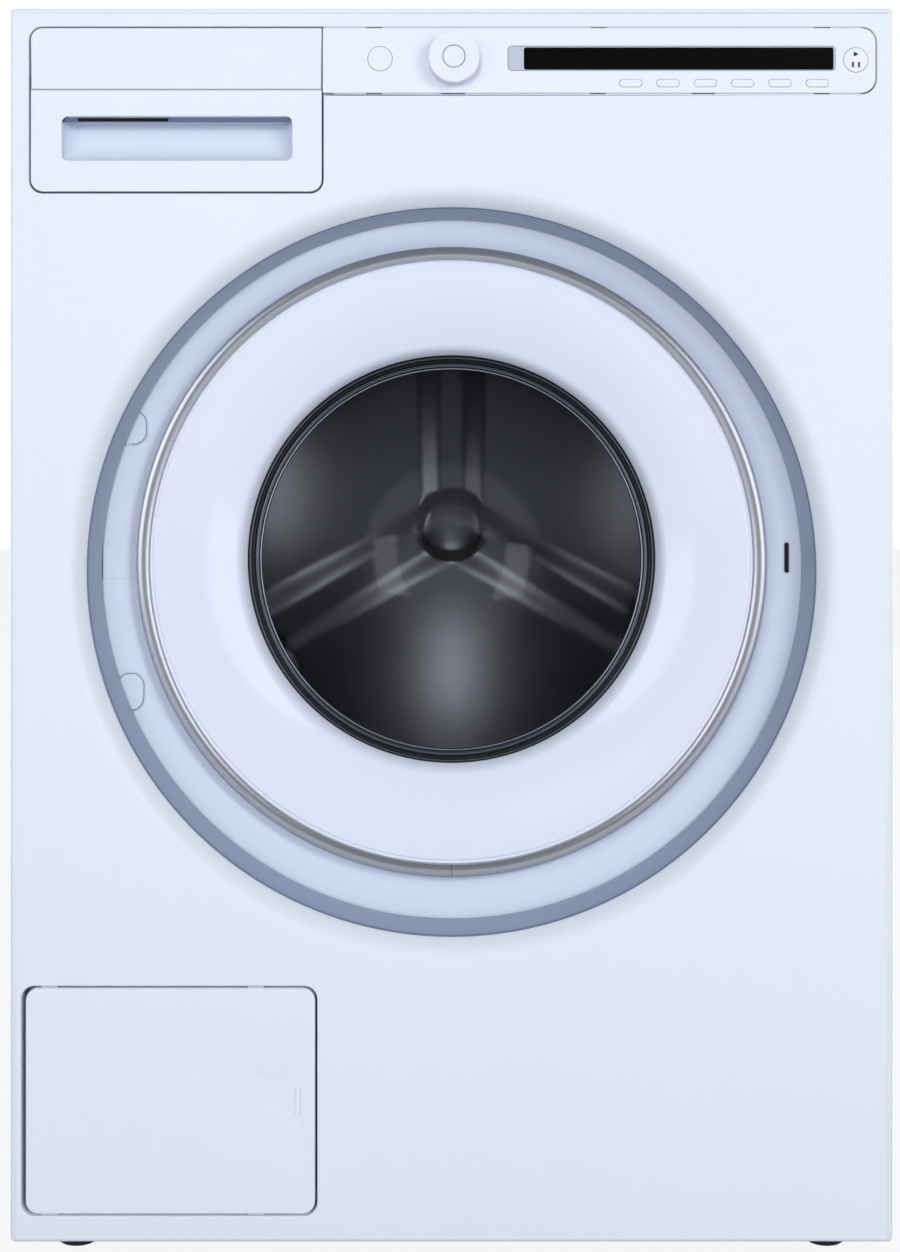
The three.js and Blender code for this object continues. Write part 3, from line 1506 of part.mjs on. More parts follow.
// Housing round the tray, open at the front, with the channel to the inlet valve
function drawerHousing() {
  const left = drawerLeft + traySideGap - housingPlay;
  const right = drawerRight - traySideGap + housingPlay;
  const near = openingFlange + seam;
  const outer = box(left - housingWall, right + housingWall, near, housingBack, housingLow,
    housingTop);
  const inner = box(left, right, near - overrun, housingBack - housingWall,
    housingLow + housingWall, housingTop - housingWall);
  const rimLow = drawerLow - fasciaGap - sheet;
  const rimHigh = fasciaTop + fasciaGap + sheet;
  const rim = without(
    box(drawerLeft - fasciaGap - sheet, stripLeft - seam - drawerStripGap, near,
      near + housingWall, rimLow, rimHigh),
    box(left, right, near - overrun, near + overrun, housingLow + housingWall,
      housingTop - housingWall));
  const channelTop = housingTop;
  const channelX = inletX;
  const channel = box(channelX - channelWidth / 2, channelX + channelWidth / 2,
    housingBack - housingWall, channelEnd, channelTop - channelHeight, channelTop);
  const channelInside = box(channelX - channelWidth / 2 + housingWall,
    channelX + channelWidth / 2 - housingWall, housingBack - 2 * housingWall,
    channelEnd - housingWall, channelTop - channelHeight + housingWall,
    channelTop - housingWall);
  const inletHole = rod(inletBore, channelEnd - 2 * housingWall, channelEnd + overrun, boreSteps,
    channelX, channelTop - channelHeight / 2);
  const spigot = pipeUp(housingSpigot, housingSpigot - housingWall,
    housingLow - housingSpigotReach, housingLow + housingWall / 2, boreSteps, drawerMiddle,
    housingSpigotDepth);
  const drain = rodUp(housingSpigot - housingWall, housingLow - overrun,
    housingLow + housingWall + seam, boreSteps, drawerMiddle, housingSpigotDepth);
  return without(joined(without(joined(outer, rim, channel), inner), spigot), channelInside,
    inletHole, drain);
}

// Control strip with its rim, the carrier behind it and the openings for its controls
function controlStrip() {
  const radii = [0, stripCorner, stripCorner, 0];
  const plate = depthwise(rectangle(stripLeft, stripRight, stripLow, fasciaTop, radii), 0,
    stripPlate);
  const band = (inset, near, far) => depthwise(rectangle(stripLeft + inset,
    stripRight - inset, stripLow + inset, fasciaTop - inset,
    radii.map((radius) => Math.max(radius - inset, 0))), near, far);
  const rim = without(band(stripRimInset, stripPlate / 2, stripRim),
    band(stripRimInset + stripRimWall, 0, stripRim + overrun));
  const carrier = box(stripLeft + carrierInset, stripRight - carrierInset, stripPlate / 2,
    carrierFar, stripLow + stripRimInset + stripRimWall / 2,
    fasciaTop - stripRimInset - stripRimWall / 2);
  const reach = fasciaGap - stripClipGap;
  const clip = (inset, low, high) => box(stripLeft + inset, stripLeft + inset + stripClipWidth,
    stripClipNear, stripRim, low, high);
  const clips = [
    ...topClips.map((inset) => clip(inset, fasciaTop - stripRimInset - stripRimWall / 2,
      fasciaTop + reach)),
    ...lowClips.map((inset) => clip(inset, stripLow - reach, stripLow + stripRimInset
      + stripRimWall / 2)),
  ];
  const far = carrierFar + overrun;
  const round = (inset, rise, radius) => rod(radius, -overrun, far, buttonSteps,
    stripLeft + inset, stripLow + rise);
  const pills = optionPlaces().map(([x, height]) => pill(x, height, buttonGap, -overrun, far));
  const window = box(stripLeft + windowLeftInset - seam,
    stripLeft + windowLeftInset + windowWidth + seam, -overrun, windowPocket,
    stripLow + windowRise - seam, stripLow + windowRise + windowHeight + seam);
  return without(joined(plate, rim, carrier, ...clips),
    round(powerInset, powerRise, roundButton + buttonGap),
    round(startInset, startRise, roundButton + buttonGap),
    round(knobInset, knobRise, knobStem + buttonGap), window, ...pills);
}

function optionPlaces() {
  return Array.from({ length: optionCount },
    (_, i) => [stripLeft + optionInset + i * optionPitch, stripLow + optionRise]);
}

// A pill outline carried through a depth, grown by a margin
function pill(x, height, grow, near, far) {
  const wide = optionWidth / 2 + grow;
  const tall = optionHeight / 2 + grow;
  return depthwise(rectangle(x - wide, x + wide, height - tall, height + tall,
    evenly(tall - seam)), near, far, pillSteps);
}

// Round button with a flange behind the carrier that keeps it in
function roundButtonCap(inset, rise) {
  const back = carrierFar + seam;
  return turned([
    [0, 0], [roundButton, 0], [roundButton, back], [roundButton + buttonFlange, back],
    [roundButton + buttonFlange, back + buttonFlangeWall], [0, back + buttonFlangeWall],
  ], buttonSteps, stripLeft + inset, stripLow + rise);
}

function optionButton([x, height]) {
  const back = carrierFar + seam;
  return joined(pill(x, height, 0, -optionProud, back),
    pill(x, height, buttonFlange, back, back + buttonFlangeWall));
}

// Turning knob with a raised rim round its inner disc
function knob() {
  const back = carrierFar + seam;
  return turned([
    [0, knobDiscDrop - knobReach], [knobDisc - knobDiscDrop, knobDiscDrop - knobReach],
    [knobDisc, -knobReach], [knobRadius - knobRound, -knobReach],
    [knobRadius, knobRound - knobReach], [knobRadius, -seam], [knobStem, -seam],
    [knobStem, back], [knobClip, back], [knobClip, back + buttonFlangeWall],
    [0, back + buttonFlangeWall],
  ], hiddenSteps, knobX, knobHeight);
}

function displayWindow() {
  const left = stripLeft + windowLeftInset;
  const low = stripLow + windowRise;
  return box(left, left + windowWidth, windowPocket - seam - windowWall, windowPocket - seam,
    low, low + windowHeight);
}

// Inlet valve with the threaded stub through the rear panel
function inletValve() {
  const near = inletBodyNear;
  const inside = rearPanelNear - seam;
  const outside = cabinetDepth + inletReach;
  const low = inletHeight - inletBody;
  const block = box(inletX - inletBody, inletX + inletBody, near, inside, low,
    housingTop + housingWall);
  const stub = turned([
    [inletBore, inside - inletBore], [inletThread, inside - inletBore],
    [inletThread, outside], [inletBore, outside],
  ], buttonSteps, inletX, inletHeight);
  const pipeNear = channelEnd + seam;
  const link = rod(inletBore, pipeNear, near + bury, boreSteps, inletX,
    housingTop - channelHeight / 2);
  const bore = rod(inletBore, near + inletBody, outside + overrun, boreSteps, inletX,
    inletHeight);
  return without(joined(block, stub, link), bore);
}

function drainOutlet() {
  const near = rearPanelNear + sheet + seam;
  return turned([
    [drainBore, rearPanelNear - rearFlangeWall], [drainSpigot, rearPanelNear - rearFlangeWall],
    [drainSpigot, near], [drainFlange, near], [drainFlange, near + rearFlangeWall],
    [drainSpigot, near + rearFlangeWall], [drainSpigot, cabinetDepth + drainReach],
    [drainBore, cabinetDepth + drainReach],
  ], buttonSteps, drainX, drainHeight);
}

// Tapered gland where the mains lead enters; the lead itself isn't in the photograph
function mainsGland() {
  const near = rearPanelNear + sheet + seam;
  const neck = glandBase - 2 * seam;
  return turned([
    [glandBore, rearPanelNear - rearFlangeWall], [neck, rearPanelNear - rearFlangeWall],
    [neck, near], [glandBase + rearFlangeWall, near],
    [glandBase + rearFlangeWall, near + rearFlangeWall],
    [glandBase, near + rearFlangeWall], [glandTip, cabinetDepth + glandReach],
    [glandBore, cabinetDepth + glandReach],
  ], boreSteps, glandX, glandHeight);
}

// The machine, one named mesh for each piece
const machine = new THREE.Group();

function addPiece(name, shape, look) {
  const mesh = shape.getMesh();
  const geometry = new THREE.BufferGeometry();
  geometry.setAttribute('position', new THREE.BufferAttribute(mesh.vertProperties, 3));
  geometry.setIndex(new THREE.BufferAttribute(mesh.triVerts, 1));
  geometry.computeVertexNormals();
  const piece = new THREE.Mesh(geometry, new THREE.MeshStandardMaterial(look));
  piece.name = name;
  machine.add(piece);
}

// Cabinet
addPiece('front_panel', frontPanel(), finish.whitePaint);
addPiece('side_panel_left', sidePanel(-1), finish.whitePaint);
addPiece('side_panel_right', sidePanel(1), finish.whitePaint);
addPiece('top_panel', topPanel(), finish.whitePaint);
addPiece('rear_panel', rearPanel(), finish.zincSteel);
addPiece('rear_cover', rearCover(), finish.zincSteel);
addPiece('base_pan', basePan(), finish.zincSteel);
const corners = ['front_left', 'front_right', 'rear_left', 'rear_right'];
corners.forEach((corner, i) => {
  addPiece(`levelling_foot_${corner}`, foot(footPlaces()[i]), finish.darkPlastic);
  addPiece(`damper_tube_${corner}`, damper(damperPlaces()[i]), finish.zincSteel);
});

// Door
addPiece('door_ring', doorRing(), finish.brushedSteel);
addPiece('door_frame', doorFrame(), finish.whitePlastic);
addPiece('door_inner_frame', doorInnerFrame(), finish.whitePlastic);
addPiece('door_glass', doorGlass(), finish.glass);
addPiece('door_hinge_arm', hingeArm(), finish.zincSteel);

// Tub and what it carries
addPiece('tub_shell', tubShell(), finish.tubPlastic);
addPiece('tub_front', tubFront(), finish.tubPlastic);
addPiece('door_surround', doorSurround(), finish.surroundPaint);
addPiece('door_lock', doorLock(), finish.darkPlastic);
addPiece('hinge_bracket', hingeBracket(), finish.zincSteel);
addPiece('door_seal', doorSeal(), finish.rubber);
addPiece('front_counterweight', counterweight(), finish.concrete);
addPiece('drum_bearing', drumBearing(), finish.zincSteel);
addPiece('motor', motor(), finish.motorSteel);
addPiece('drive_belt', driveBelt(), finish.rubber);
addPiece('heater', heater(), finish.zincSteel);

// Drum
addPiece('drum_shell', drumShell(), finish.brushedSteel);
angles(lifterCount, firstArmAngle * (1 + lifterTurnShare)).forEach((angle, i) => {
  addPiece(`drum_lifter_${i + 1}`, lifter(angle), finish.brushedSteel);
});
addPiece('drum_spider', drumSpider(), finish.castAluminium);
addPiece('drum_pulley', drumPulleyWheel(), finish.castAluminium);
addPiece('motor_pulley', motorPulleyWheel(), finish.zincSteel);

// Pump, hoses and water
addPiece('pump_body', pumpBody(), finish.greyPlastic);
addPiece('filter_cap', filterCap(), finish.greyPlastic);
addPiece('sump_hose', hose(pumpInletTop + seam, sumpSpigotFoot - seam, pumpPipeBore,
  pumpInletX, pumpInletDepth), finish.rubber);
addPiece('fill_hose', hose(tubSpigotTop + seam, housingLow - housingSpigotReach - seam,
  housingSpigot - housingWall, drawerMiddle, housingSpigotDepth), finish.rubber);
addPiece('inlet_valve', inletValve(), finish.whitePlastic);
addPiece('drain_outlet', drainOutlet(), finish.greyPlastic);
addPiece('mains_gland', mainsGland(), finish.darkPlastic);

// Drawer, hatch and controls
addPiece('drawer_front', drawerFront(), finish.whitePlastic);
addPiece('drawer_tray', drawerTray(), finish.whitePlastic);
addPiece('drawer_housing', drawerHousing(), finish.greyPlastic);
addPiece('service_hatch', hatch(), finish.whitePlastic);
addPiece('control_strip', controlStrip(), finish.whitePlastic);
addPiece('display_window', displayWindow(), finish.display);
addPiece('program_knob', knob(), finish.whitePlastic);
addPiece('power_button', roundButtonCap(powerInset, powerRise), finish.whitePlastic);
addPiece('start_button', roundButtonCap(startInset, startRise), finish.whitePlastic);
optionPlaces().forEach((place, i) => {
  addPiece(`option_button_${i + 1}`, optionButton(place), finish.whitePlastic);
});

machine.position.y = -originShift;

export default machine;
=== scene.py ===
"""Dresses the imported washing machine: finished surfaces, materials, studio and camera.

Sizes are millimetres in the drawing's axes: x to the right, depth from the face of the front panel
towards the rear, z up from the floor. Meshes are in metres about the machine's own origin.
"""

from __future__ import annotations

import json
import logging
import math
from dataclasses import dataclass
from enum import Enum
from typing import Any, Sequence

import bmesh
import bpy
import numpy as np
from mathutils.geometry import tessellate_polygon
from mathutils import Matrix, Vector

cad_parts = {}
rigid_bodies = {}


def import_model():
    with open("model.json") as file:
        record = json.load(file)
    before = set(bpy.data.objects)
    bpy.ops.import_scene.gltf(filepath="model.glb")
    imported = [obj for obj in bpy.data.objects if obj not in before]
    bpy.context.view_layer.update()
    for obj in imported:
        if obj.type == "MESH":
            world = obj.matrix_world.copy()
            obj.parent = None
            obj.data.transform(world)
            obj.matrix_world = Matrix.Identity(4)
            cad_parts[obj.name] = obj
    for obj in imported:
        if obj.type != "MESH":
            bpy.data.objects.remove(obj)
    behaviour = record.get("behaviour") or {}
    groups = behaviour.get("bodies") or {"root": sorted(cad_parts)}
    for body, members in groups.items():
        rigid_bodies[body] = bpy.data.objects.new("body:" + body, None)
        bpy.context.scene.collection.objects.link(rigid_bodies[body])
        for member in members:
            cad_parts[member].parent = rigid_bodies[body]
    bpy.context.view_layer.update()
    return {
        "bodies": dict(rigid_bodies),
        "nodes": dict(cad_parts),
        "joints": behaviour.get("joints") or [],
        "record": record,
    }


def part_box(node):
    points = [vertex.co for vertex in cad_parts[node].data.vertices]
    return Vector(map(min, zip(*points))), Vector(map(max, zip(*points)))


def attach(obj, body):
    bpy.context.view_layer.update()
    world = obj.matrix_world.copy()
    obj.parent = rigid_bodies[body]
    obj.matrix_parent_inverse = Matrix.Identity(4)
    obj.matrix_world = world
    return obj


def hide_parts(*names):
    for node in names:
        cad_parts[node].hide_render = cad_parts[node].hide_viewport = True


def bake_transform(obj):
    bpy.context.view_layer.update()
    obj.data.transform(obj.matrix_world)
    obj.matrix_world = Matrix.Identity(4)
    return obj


LOG = logging.getLogger("washing_machine")

MILLIMETRE = 0.001
ORIGIN_DEPTH = 295.5
AXIS_HEIGHT = 474.0
FRONT = (0.0, -1.0, 0.0)

Array = np.ndarray
Colour = tuple[float, float, float, float]
Profile = Sequence[Sequence[float]]


def tone(red: float, green: float, blue: float) -> Colour:
    """Turns display levels of 0 to 255 into a linear colour.

    Args:
        red: Red level.
        green: Green level.
        blue: Blue level.

    Returns:
        Linear colour: each share plus 0.055, over 1.055, to the power 2.4.
    """
    share = (np.array([red, green, blue]) / 255 + 0.055) / 1.055
    return (*(float(v) for v in share**2.4), 1.0)


# ---------------------------------------------------------------- shapes


@dataclass(frozen=True)
class Outline:
    """Closed outline of (x, z) points, run round against the clock."""

    points: Array

    def at(self, inset: float) -> Array:
        """Moves the outline in: each point goes along the sum of its two edge normals over one
        plus their dot product, times the inset.

        Args:
            inset: How far the edges move in, or out where it is negative.

        Returns:
            The moved points.
        """
        ahead = np.roll(self.points, -1, axis=0) - self.points
        normal = np.stack([-ahead[:, 1], ahead[:, 0]], axis=1)
        normal /= np.linalg.norm(ahead, axis=1, keepdims=True)
        before = np.roll(normal, 1, axis=0)
        mitre = (normal + before) / (1 + np.sum(normal * before, axis=1, keepdims=True))
        return self.points + inset * mitre

    @staticmethod
    def cornered(corners: Profile, steps: int = 8) -> Outline:
        """Rounds each corner of a polygon with an arc that touches both of its edges.

        Args:
            corners: x, z and radius of each corner, against the clock.
            steps: Steps of each arc.

        Returns:
            The outline: centre plus radius times (cos a, sin a) at each corner.
        """
        place = np.array([(x, z) for x, z, _ in corners], dtype=float)
        radius = np.array([max(r, 0.02) for _, _, r in corners])
        back = np.roll(place, 1, axis=0) - place
        ahead = np.roll(place, -1, axis=0) - place
        back /= np.linalg.norm(back, axis=1, keepdims=True)
        ahead /= np.linalg.norm(ahead, axis=1, keepdims=True)
        half = np.arccos(np.clip(np.sum(back * ahead, axis=1), -1, 1)) / 2
        middle = back + ahead
        middle /= np.linalg.norm(middle, axis=1, keepdims=True)
        centre = place + middle * (radius / np.sin(half))[:, None]
        first = place + back * (radius / np.tan(half))[:, None] - centre
        last = place + ahead * (radius / np.tan(half))[:, None] - centre
        begin = np.arctan2(first[:, 1], first[:, 0])
        turn = np.arctan2(last[:, 1], last[:, 0]) - begin
        turn = (turn + np.pi) % (2 * np.pi) - np.pi
        angle = begin[:, None] + turn[:, None] * np.linspace(0, 1, steps + 1)[None, :]
        ring = np.stack([np.cos(angle), np.sin(angle)], axis=-1) * radius[:, None, None]
        return Outline((centre[:, None, :] + ring).reshape(-1, 2))

    @staticmethod
    def box(left: float, right: float, low: float, high: float,
            radius: float | Sequence[float], steps: int = 8) -> Outline:
        """Rectangle with rounded corners.

        Args:
            left: Left edge.
            right: Right edge.
            low: Low edge.
            high: High edge.
            radius: Radius of all corners, or of each from low left against the clock.
            steps: Steps of each arc.

        Returns:
            The outline.
        """
        places = ((left, low), (right, low), (right, high), (left, high))
        corners = [(*place, r) for place, r in zip(places, np.broadcast_to(radius, 4))]
        return Outline.cornered(corners, steps)

    @staticmethod
    def circle(x: float, z: float, radius: float, steps: int = 64) -> Outline:
        """Circle about (x, z): centre plus radius times (cos a, sin a)."""
        angle = np.arange(steps) * 2 * np.pi / steps
        return Outline(np.stack([x + radius * np.cos(angle), z + radius * np.sin(angle)], axis=1))


def pairs(first: Array | float, second: Array | float) -> list[list[float]]:
    """Pairs up two runs of numbers, or a run and one number."""
    return np.stack(np.broadcast_arrays(first, second), axis=-1).tolist()


def lying(flat: Array, height: float) -> Array:
    """Lays (x, depth) points level at a height."""
    return np.insert(flat, 2, height, axis=-1)


def swept(outline: Outline, profile: Profile) -> Array:
    """Carries a profile round an outline that stands in the front.

    Args:
        outline: The path.
        profile: Pairs of how far in from the outline, and depth.

    Returns:
        Rows of points, one row for each pair.
    """
    return np.stack([np.insert(outline.at(inset), 1, depth, axis=-1) for inset, depth in profile])


def edge(radius: float, front: float = 0.0, steps: int = 4) -> Profile:
    """Quarter-round edge, from its side to its face.

    Args:
        radius: Radius of the edge.
        front: Depth of the face.
        steps: Steps of the arc.

    Returns:
        Pairs of inset and depth: the arc's own, then a short flat land.
    """
    angle = np.linspace(0, np.pi / 2, steps + 1)
    arc = pairs(radius * (1 - np.cos(angle)), front + radius * (1 - np.sin(angle)))
    return [*arc, (radius * 1.15 + 0.02, front)]


def turned(profile: Profile, steps: int, x: float = 0.0, z: float = AXIS_HEIGHT,
           start: float = 0.0, sweep: float = 2 * np.pi) -> Array:
    """Turns a profile about an axis that runs towards the rear.

    Args:
        profile: Pairs of radius and depth.
        steps: Steps of the turn.
        x: Place of the axis.
        z: Height of the axis.
        start: First angle.
        sweep: Angle turned through, a full turn by default.

    Returns:
        Rows of points: x plus radius times cos a, the depth, z plus radius times sin a.
    """
    whole = abs(sweep - 2 * np.pi) < 1e-6
    angle = start + sweep * np.arange(steps if whole else steps + 1) / steps
    radius, depth = np.asarray(profile, dtype=float).T[..., None]
    rows = [x + radius * np.cos(angle), depth, z + radius * np.sin(angle)]
    return np.stack(np.broadcast_arrays(*rows), axis=-1)


def turned_up(profile: Profile, x: float, depth: float, steps: int) -> Array:
    """Turns pairs of radius and height about an upright axis."""
    flat = turned(profile, steps, 0.0, 0.0)
    return np.stack([x + flat[..., 0], depth + flat[..., 2], flat[..., 1]], axis=-1)


def smooth(value: Array) -> Array:
    """Eases 0 to 1: three times the square less twice the cube."""
    share = np.clip(value, 0, 1)
    return share * share * (3 - 2 * share)


def read(items: Any, name: str, width: int = 1, kind: type = float) -> Array:
    """Reads one property of a mesh's items.

    Args:
        items: Vertices, loops or polygons.
        name: Name of the property.
        width: Numbers that it has for each item.
        kind: Type of its numbers.

    Returns:
        The numbers, as rows where they are more than one for each item.
    """
    values = np.empty((len(items), width), dtype=kind)
    items.foreach_get(name, values.ravel())
    return values[:, 0] if width == 1 else values


class Draft:
    """Points and faces of one piece, gathered in the drawing's axes."""

    def __init__(self) -> None:
        """Starts an empty draft."""
        self.points: list[Array] = []
        self.faces: list[list[int]] = []
        self.kinds: list[int] = []
        self.count = 0

    def _add(self, points: Array) -> int:
        """Adds points and returns the number of the first."""
        first = self.count
        self.points.append(points.reshape(-1, 3))
        self.count += self.points[-1].shape[0]
        return first

    def grid(self, rows: Array, around: bool = True, kind: int = 0) -> Draft:
        """Joins rows of points with quads.

        Args:
            rows: Points as rows, columns and coordinates.
            around: Whether each row closes on itself.
            kind: Number of the material slot.

        Returns:
            This draft.
        """
        count, wide = rows.shape[:2]
        index = self._add(rows) + np.arange(count * wide).reshape(count, wide)
        if around:
            index = np.hstack([index, index[:, :1]])
        quads = np.stack([index[:-1, :-1], index[:-1, 1:], index[1:, 1:], index[1:, :-1]], axis=-1)
        self.faces.extend(quads.reshape(-1, 4).tolist())
        self.kinds.extend([kind] * (quads.size // 4))
        return self

    def fill(self, *loops: Array, kind: int = 0) -> Draft:
        """Fills a flat outline, less the loops that follow it.

        Args:
            *loops: The outer loop, then its holes, as points.
            kind: Number of the material slot.

        Returns:
            This draft.
        """
        first = self._add(np.concatenate(loops))
        triangles = np.array(tessellate_polygon([loop.tolist() for loop in loops])) + first
        self.faces.extend(triangles.tolist())
        self.kinds.extend([kind] * len(triangles))
        return self

    def capped(self, rows: Array, *holes: Array, kind: int = 0) -> Draft:
        """Joins rows of points and fills the last row, less the holes."""
        return self.grid(rows, kind=kind).fill(rows[-1], *holes, kind=kind)

    def closed(self, rows: Array, kind: int = 0) -> Draft:
        """Joins rows of points and fills the first row and the last."""
        return self.grid(rows, kind=kind).fill(rows[0], kind=kind).fill(rows[-1], kind=kind)

    def item(self, name: str, finishes: Sequence[bpy.types.Material],
             toward: Sequence[float] | None, sharp: float) -> bpy.types.Object:
        """Turns the draft into a smooth-shaded object.

        Args:
            name: Name of the object.
            finishes: Materials, by kind.
            toward: Way that most of an open sheet faces.
            sharp: Angle in degrees over which an edge stays sharp.

        Returns:
            The object.
        """
        points = np.concatenate(self.points) - np.array([0.0, ORIGIN_DEPTH, 0.0])
        mesh = bpy.data.meshes.new(name)
        mesh.from_pydata((points * MILLIMETRE).tolist(), [], self.faces)
        for finish in finishes:
            mesh.materials.append(finish)
        mesh.polygons.foreach_set("material_index", self.kinds)
        work = bmesh.new()
        work.from_mesh(mesh)
        bmesh.ops.remove_doubles(work, verts=work.verts, dist=2e-6)
        bmesh.ops.dissolve_degenerate(work, edges=work.edges, dist=1e-7)
        bmesh.ops.recalc_face_normals(work, faces=work.faces)
        work.to_mesh(mesh)
        work.free()
        if toward is not None:
            facing = read(mesh.polygons, "normal", 3) @ np.array(toward)
            if np.sum(facing * read(mesh.polygons, "area")) < 0:
                mesh.flip_normals()
        mesh.polygons.foreach_set("use_smooth", [True] * len(mesh.polygons))
        mesh.set_sharp_from_angle(angle=math.radians(sharp))
        mesh.update()
        item = bpy.data.objects.new(name, mesh)
        bpy.context.scene.collection.objects.link(item)
        return item


# ---------------------------------------------------------------- finishes


class Board:
    """Node tree being wired, for a material, a world or a group."""

    def __init__(self, owner: Any) -> None:
        """Takes a group, or the emptied tree of a material or a world."""
        self.tree = owner
        if not isinstance(owner, bpy.types.NodeTree):
            owner.use_nodes = True
            self.tree = owner.node_tree
            self.tree.nodes.clear()

    def put(self, kind: str, inputs: dict[str | int, Any] | None = None, **settings: Any) -> Any:
        """Adds a node, sets its options and wires or sets its inputs.

        Args:
            kind: Node type without its ShaderNode prefix.
            inputs: Socket names or numbers, with a socket to link or a value to set.
            **settings: Options of the node.

        Returns:
            The node.
        """
        node = self.tree.nodes.new(kind if kind.startswith("Node") else f"ShaderNode{kind}")
        for name, value in settings.items():
            setattr(node, name, value)
        for socket, value in (inputs or {}).items():
            if isinstance(value, bpy.types.NodeSocket):
                self.tree.links.new(value, node.inputs[socket])
            else:
                node.inputs[socket].default_value = value
        return node

    def place(self) -> Any:
        """Adds the place of a point on its object."""
        return self.put("TexCoord").outputs["Object"]

    def sum(self, operation: str, *values: Any) -> Any:
        """Adds a Math node and returns its value."""
        return self.put("Math", dict(enumerate(values)), operation=operation).outputs[0]

    def range(self, value: Any, low: float, high: float, first: float, last: float) -> Any:
        """Maps a value from one range to another with an eased step and returns it."""
        wiring = {"Value": value, "From Min": low, "From Max": high,
                  "To Min": first, "To Max": last}
        return self.put("MapRange", wiring, interpolation_type="SMOOTHSTEP").outputs[0]

    def noise(self, place: Any, scale: float | Any, detail: float = 2.0) -> Any:
        """Adds a noise texture and returns its value."""
        wiring = {"Vector": place, "Scale": scale, "Detail": detail}
        return self.put("TexNoise", wiring).outputs[0]

    def mix(self, share: Any, first: Any, second: Any, **settings: Any) -> Any:
        """Mixes two colours and returns the result."""
        wiring = {"Factor": share, 6: first, 7: second}
        return self.put("Mix", wiring, data_type="RGBA", **settings).outputs[2]

    def shaded(self, colour: Any, shade: Any) -> Any:
        """Multiplies a colour by a grey value and returns the result."""
        grey = self.put("CombineColor", {0: shade, 1: shade, 2: shade}).outputs[0]
        return self.mix(1.0, colour, grey, blend_type="MULTIPLY")

    def surface(self, **inputs: Any) -> None:
        """Adds the principled shader, its inputs named with underscores, and the output."""
        wiring = {name.replace("_", " "): value for name, value in inputs.items()}
        shader = self.put("BsdfPrincipled", wiring)
        self.put("OutputMaterial", {"Surface": shader.outputs[0]})


class Group(Board):
    """Node group being wired, with the values that it is given and the results it gives."""

    def __init__(self, name: str, inputs: dict[str, float | None], outputs: dict[str, str]) -> None:
        """Starts the group.

        Args:
            name: Name of the group.
            inputs: Default of each input, or None for a colour.
            outputs: Socket kind of each output.
        """
        super().__init__(bpy.data.node_groups.new(name, "ShaderNodeTree"))
        sockets = self.tree.interface
        for title, value in inputs.items():
            kind = "NodeSocketColor" if value is None else "NodeSocketFloat"
            socket = sockets.new_socket(title, in_out="INPUT", socket_type=kind)
            if value is not None:
                socket.default_value = value
        for title, kind in outputs.items():
            sockets.new_socket(title, in_out="OUTPUT", socket_type=f"NodeSocket{kind}")
        self.given = self.put("NodeGroupInput").outputs
        self.result = self.put("NodeGroupOutput").inputs

    def give(self, **values: Any) -> bpy.types.NodeTree:
        """Links the results and returns the group's tree."""
        for title, value in values.items():
            self.tree.links.new(value, self.result[title])
        return self.tree


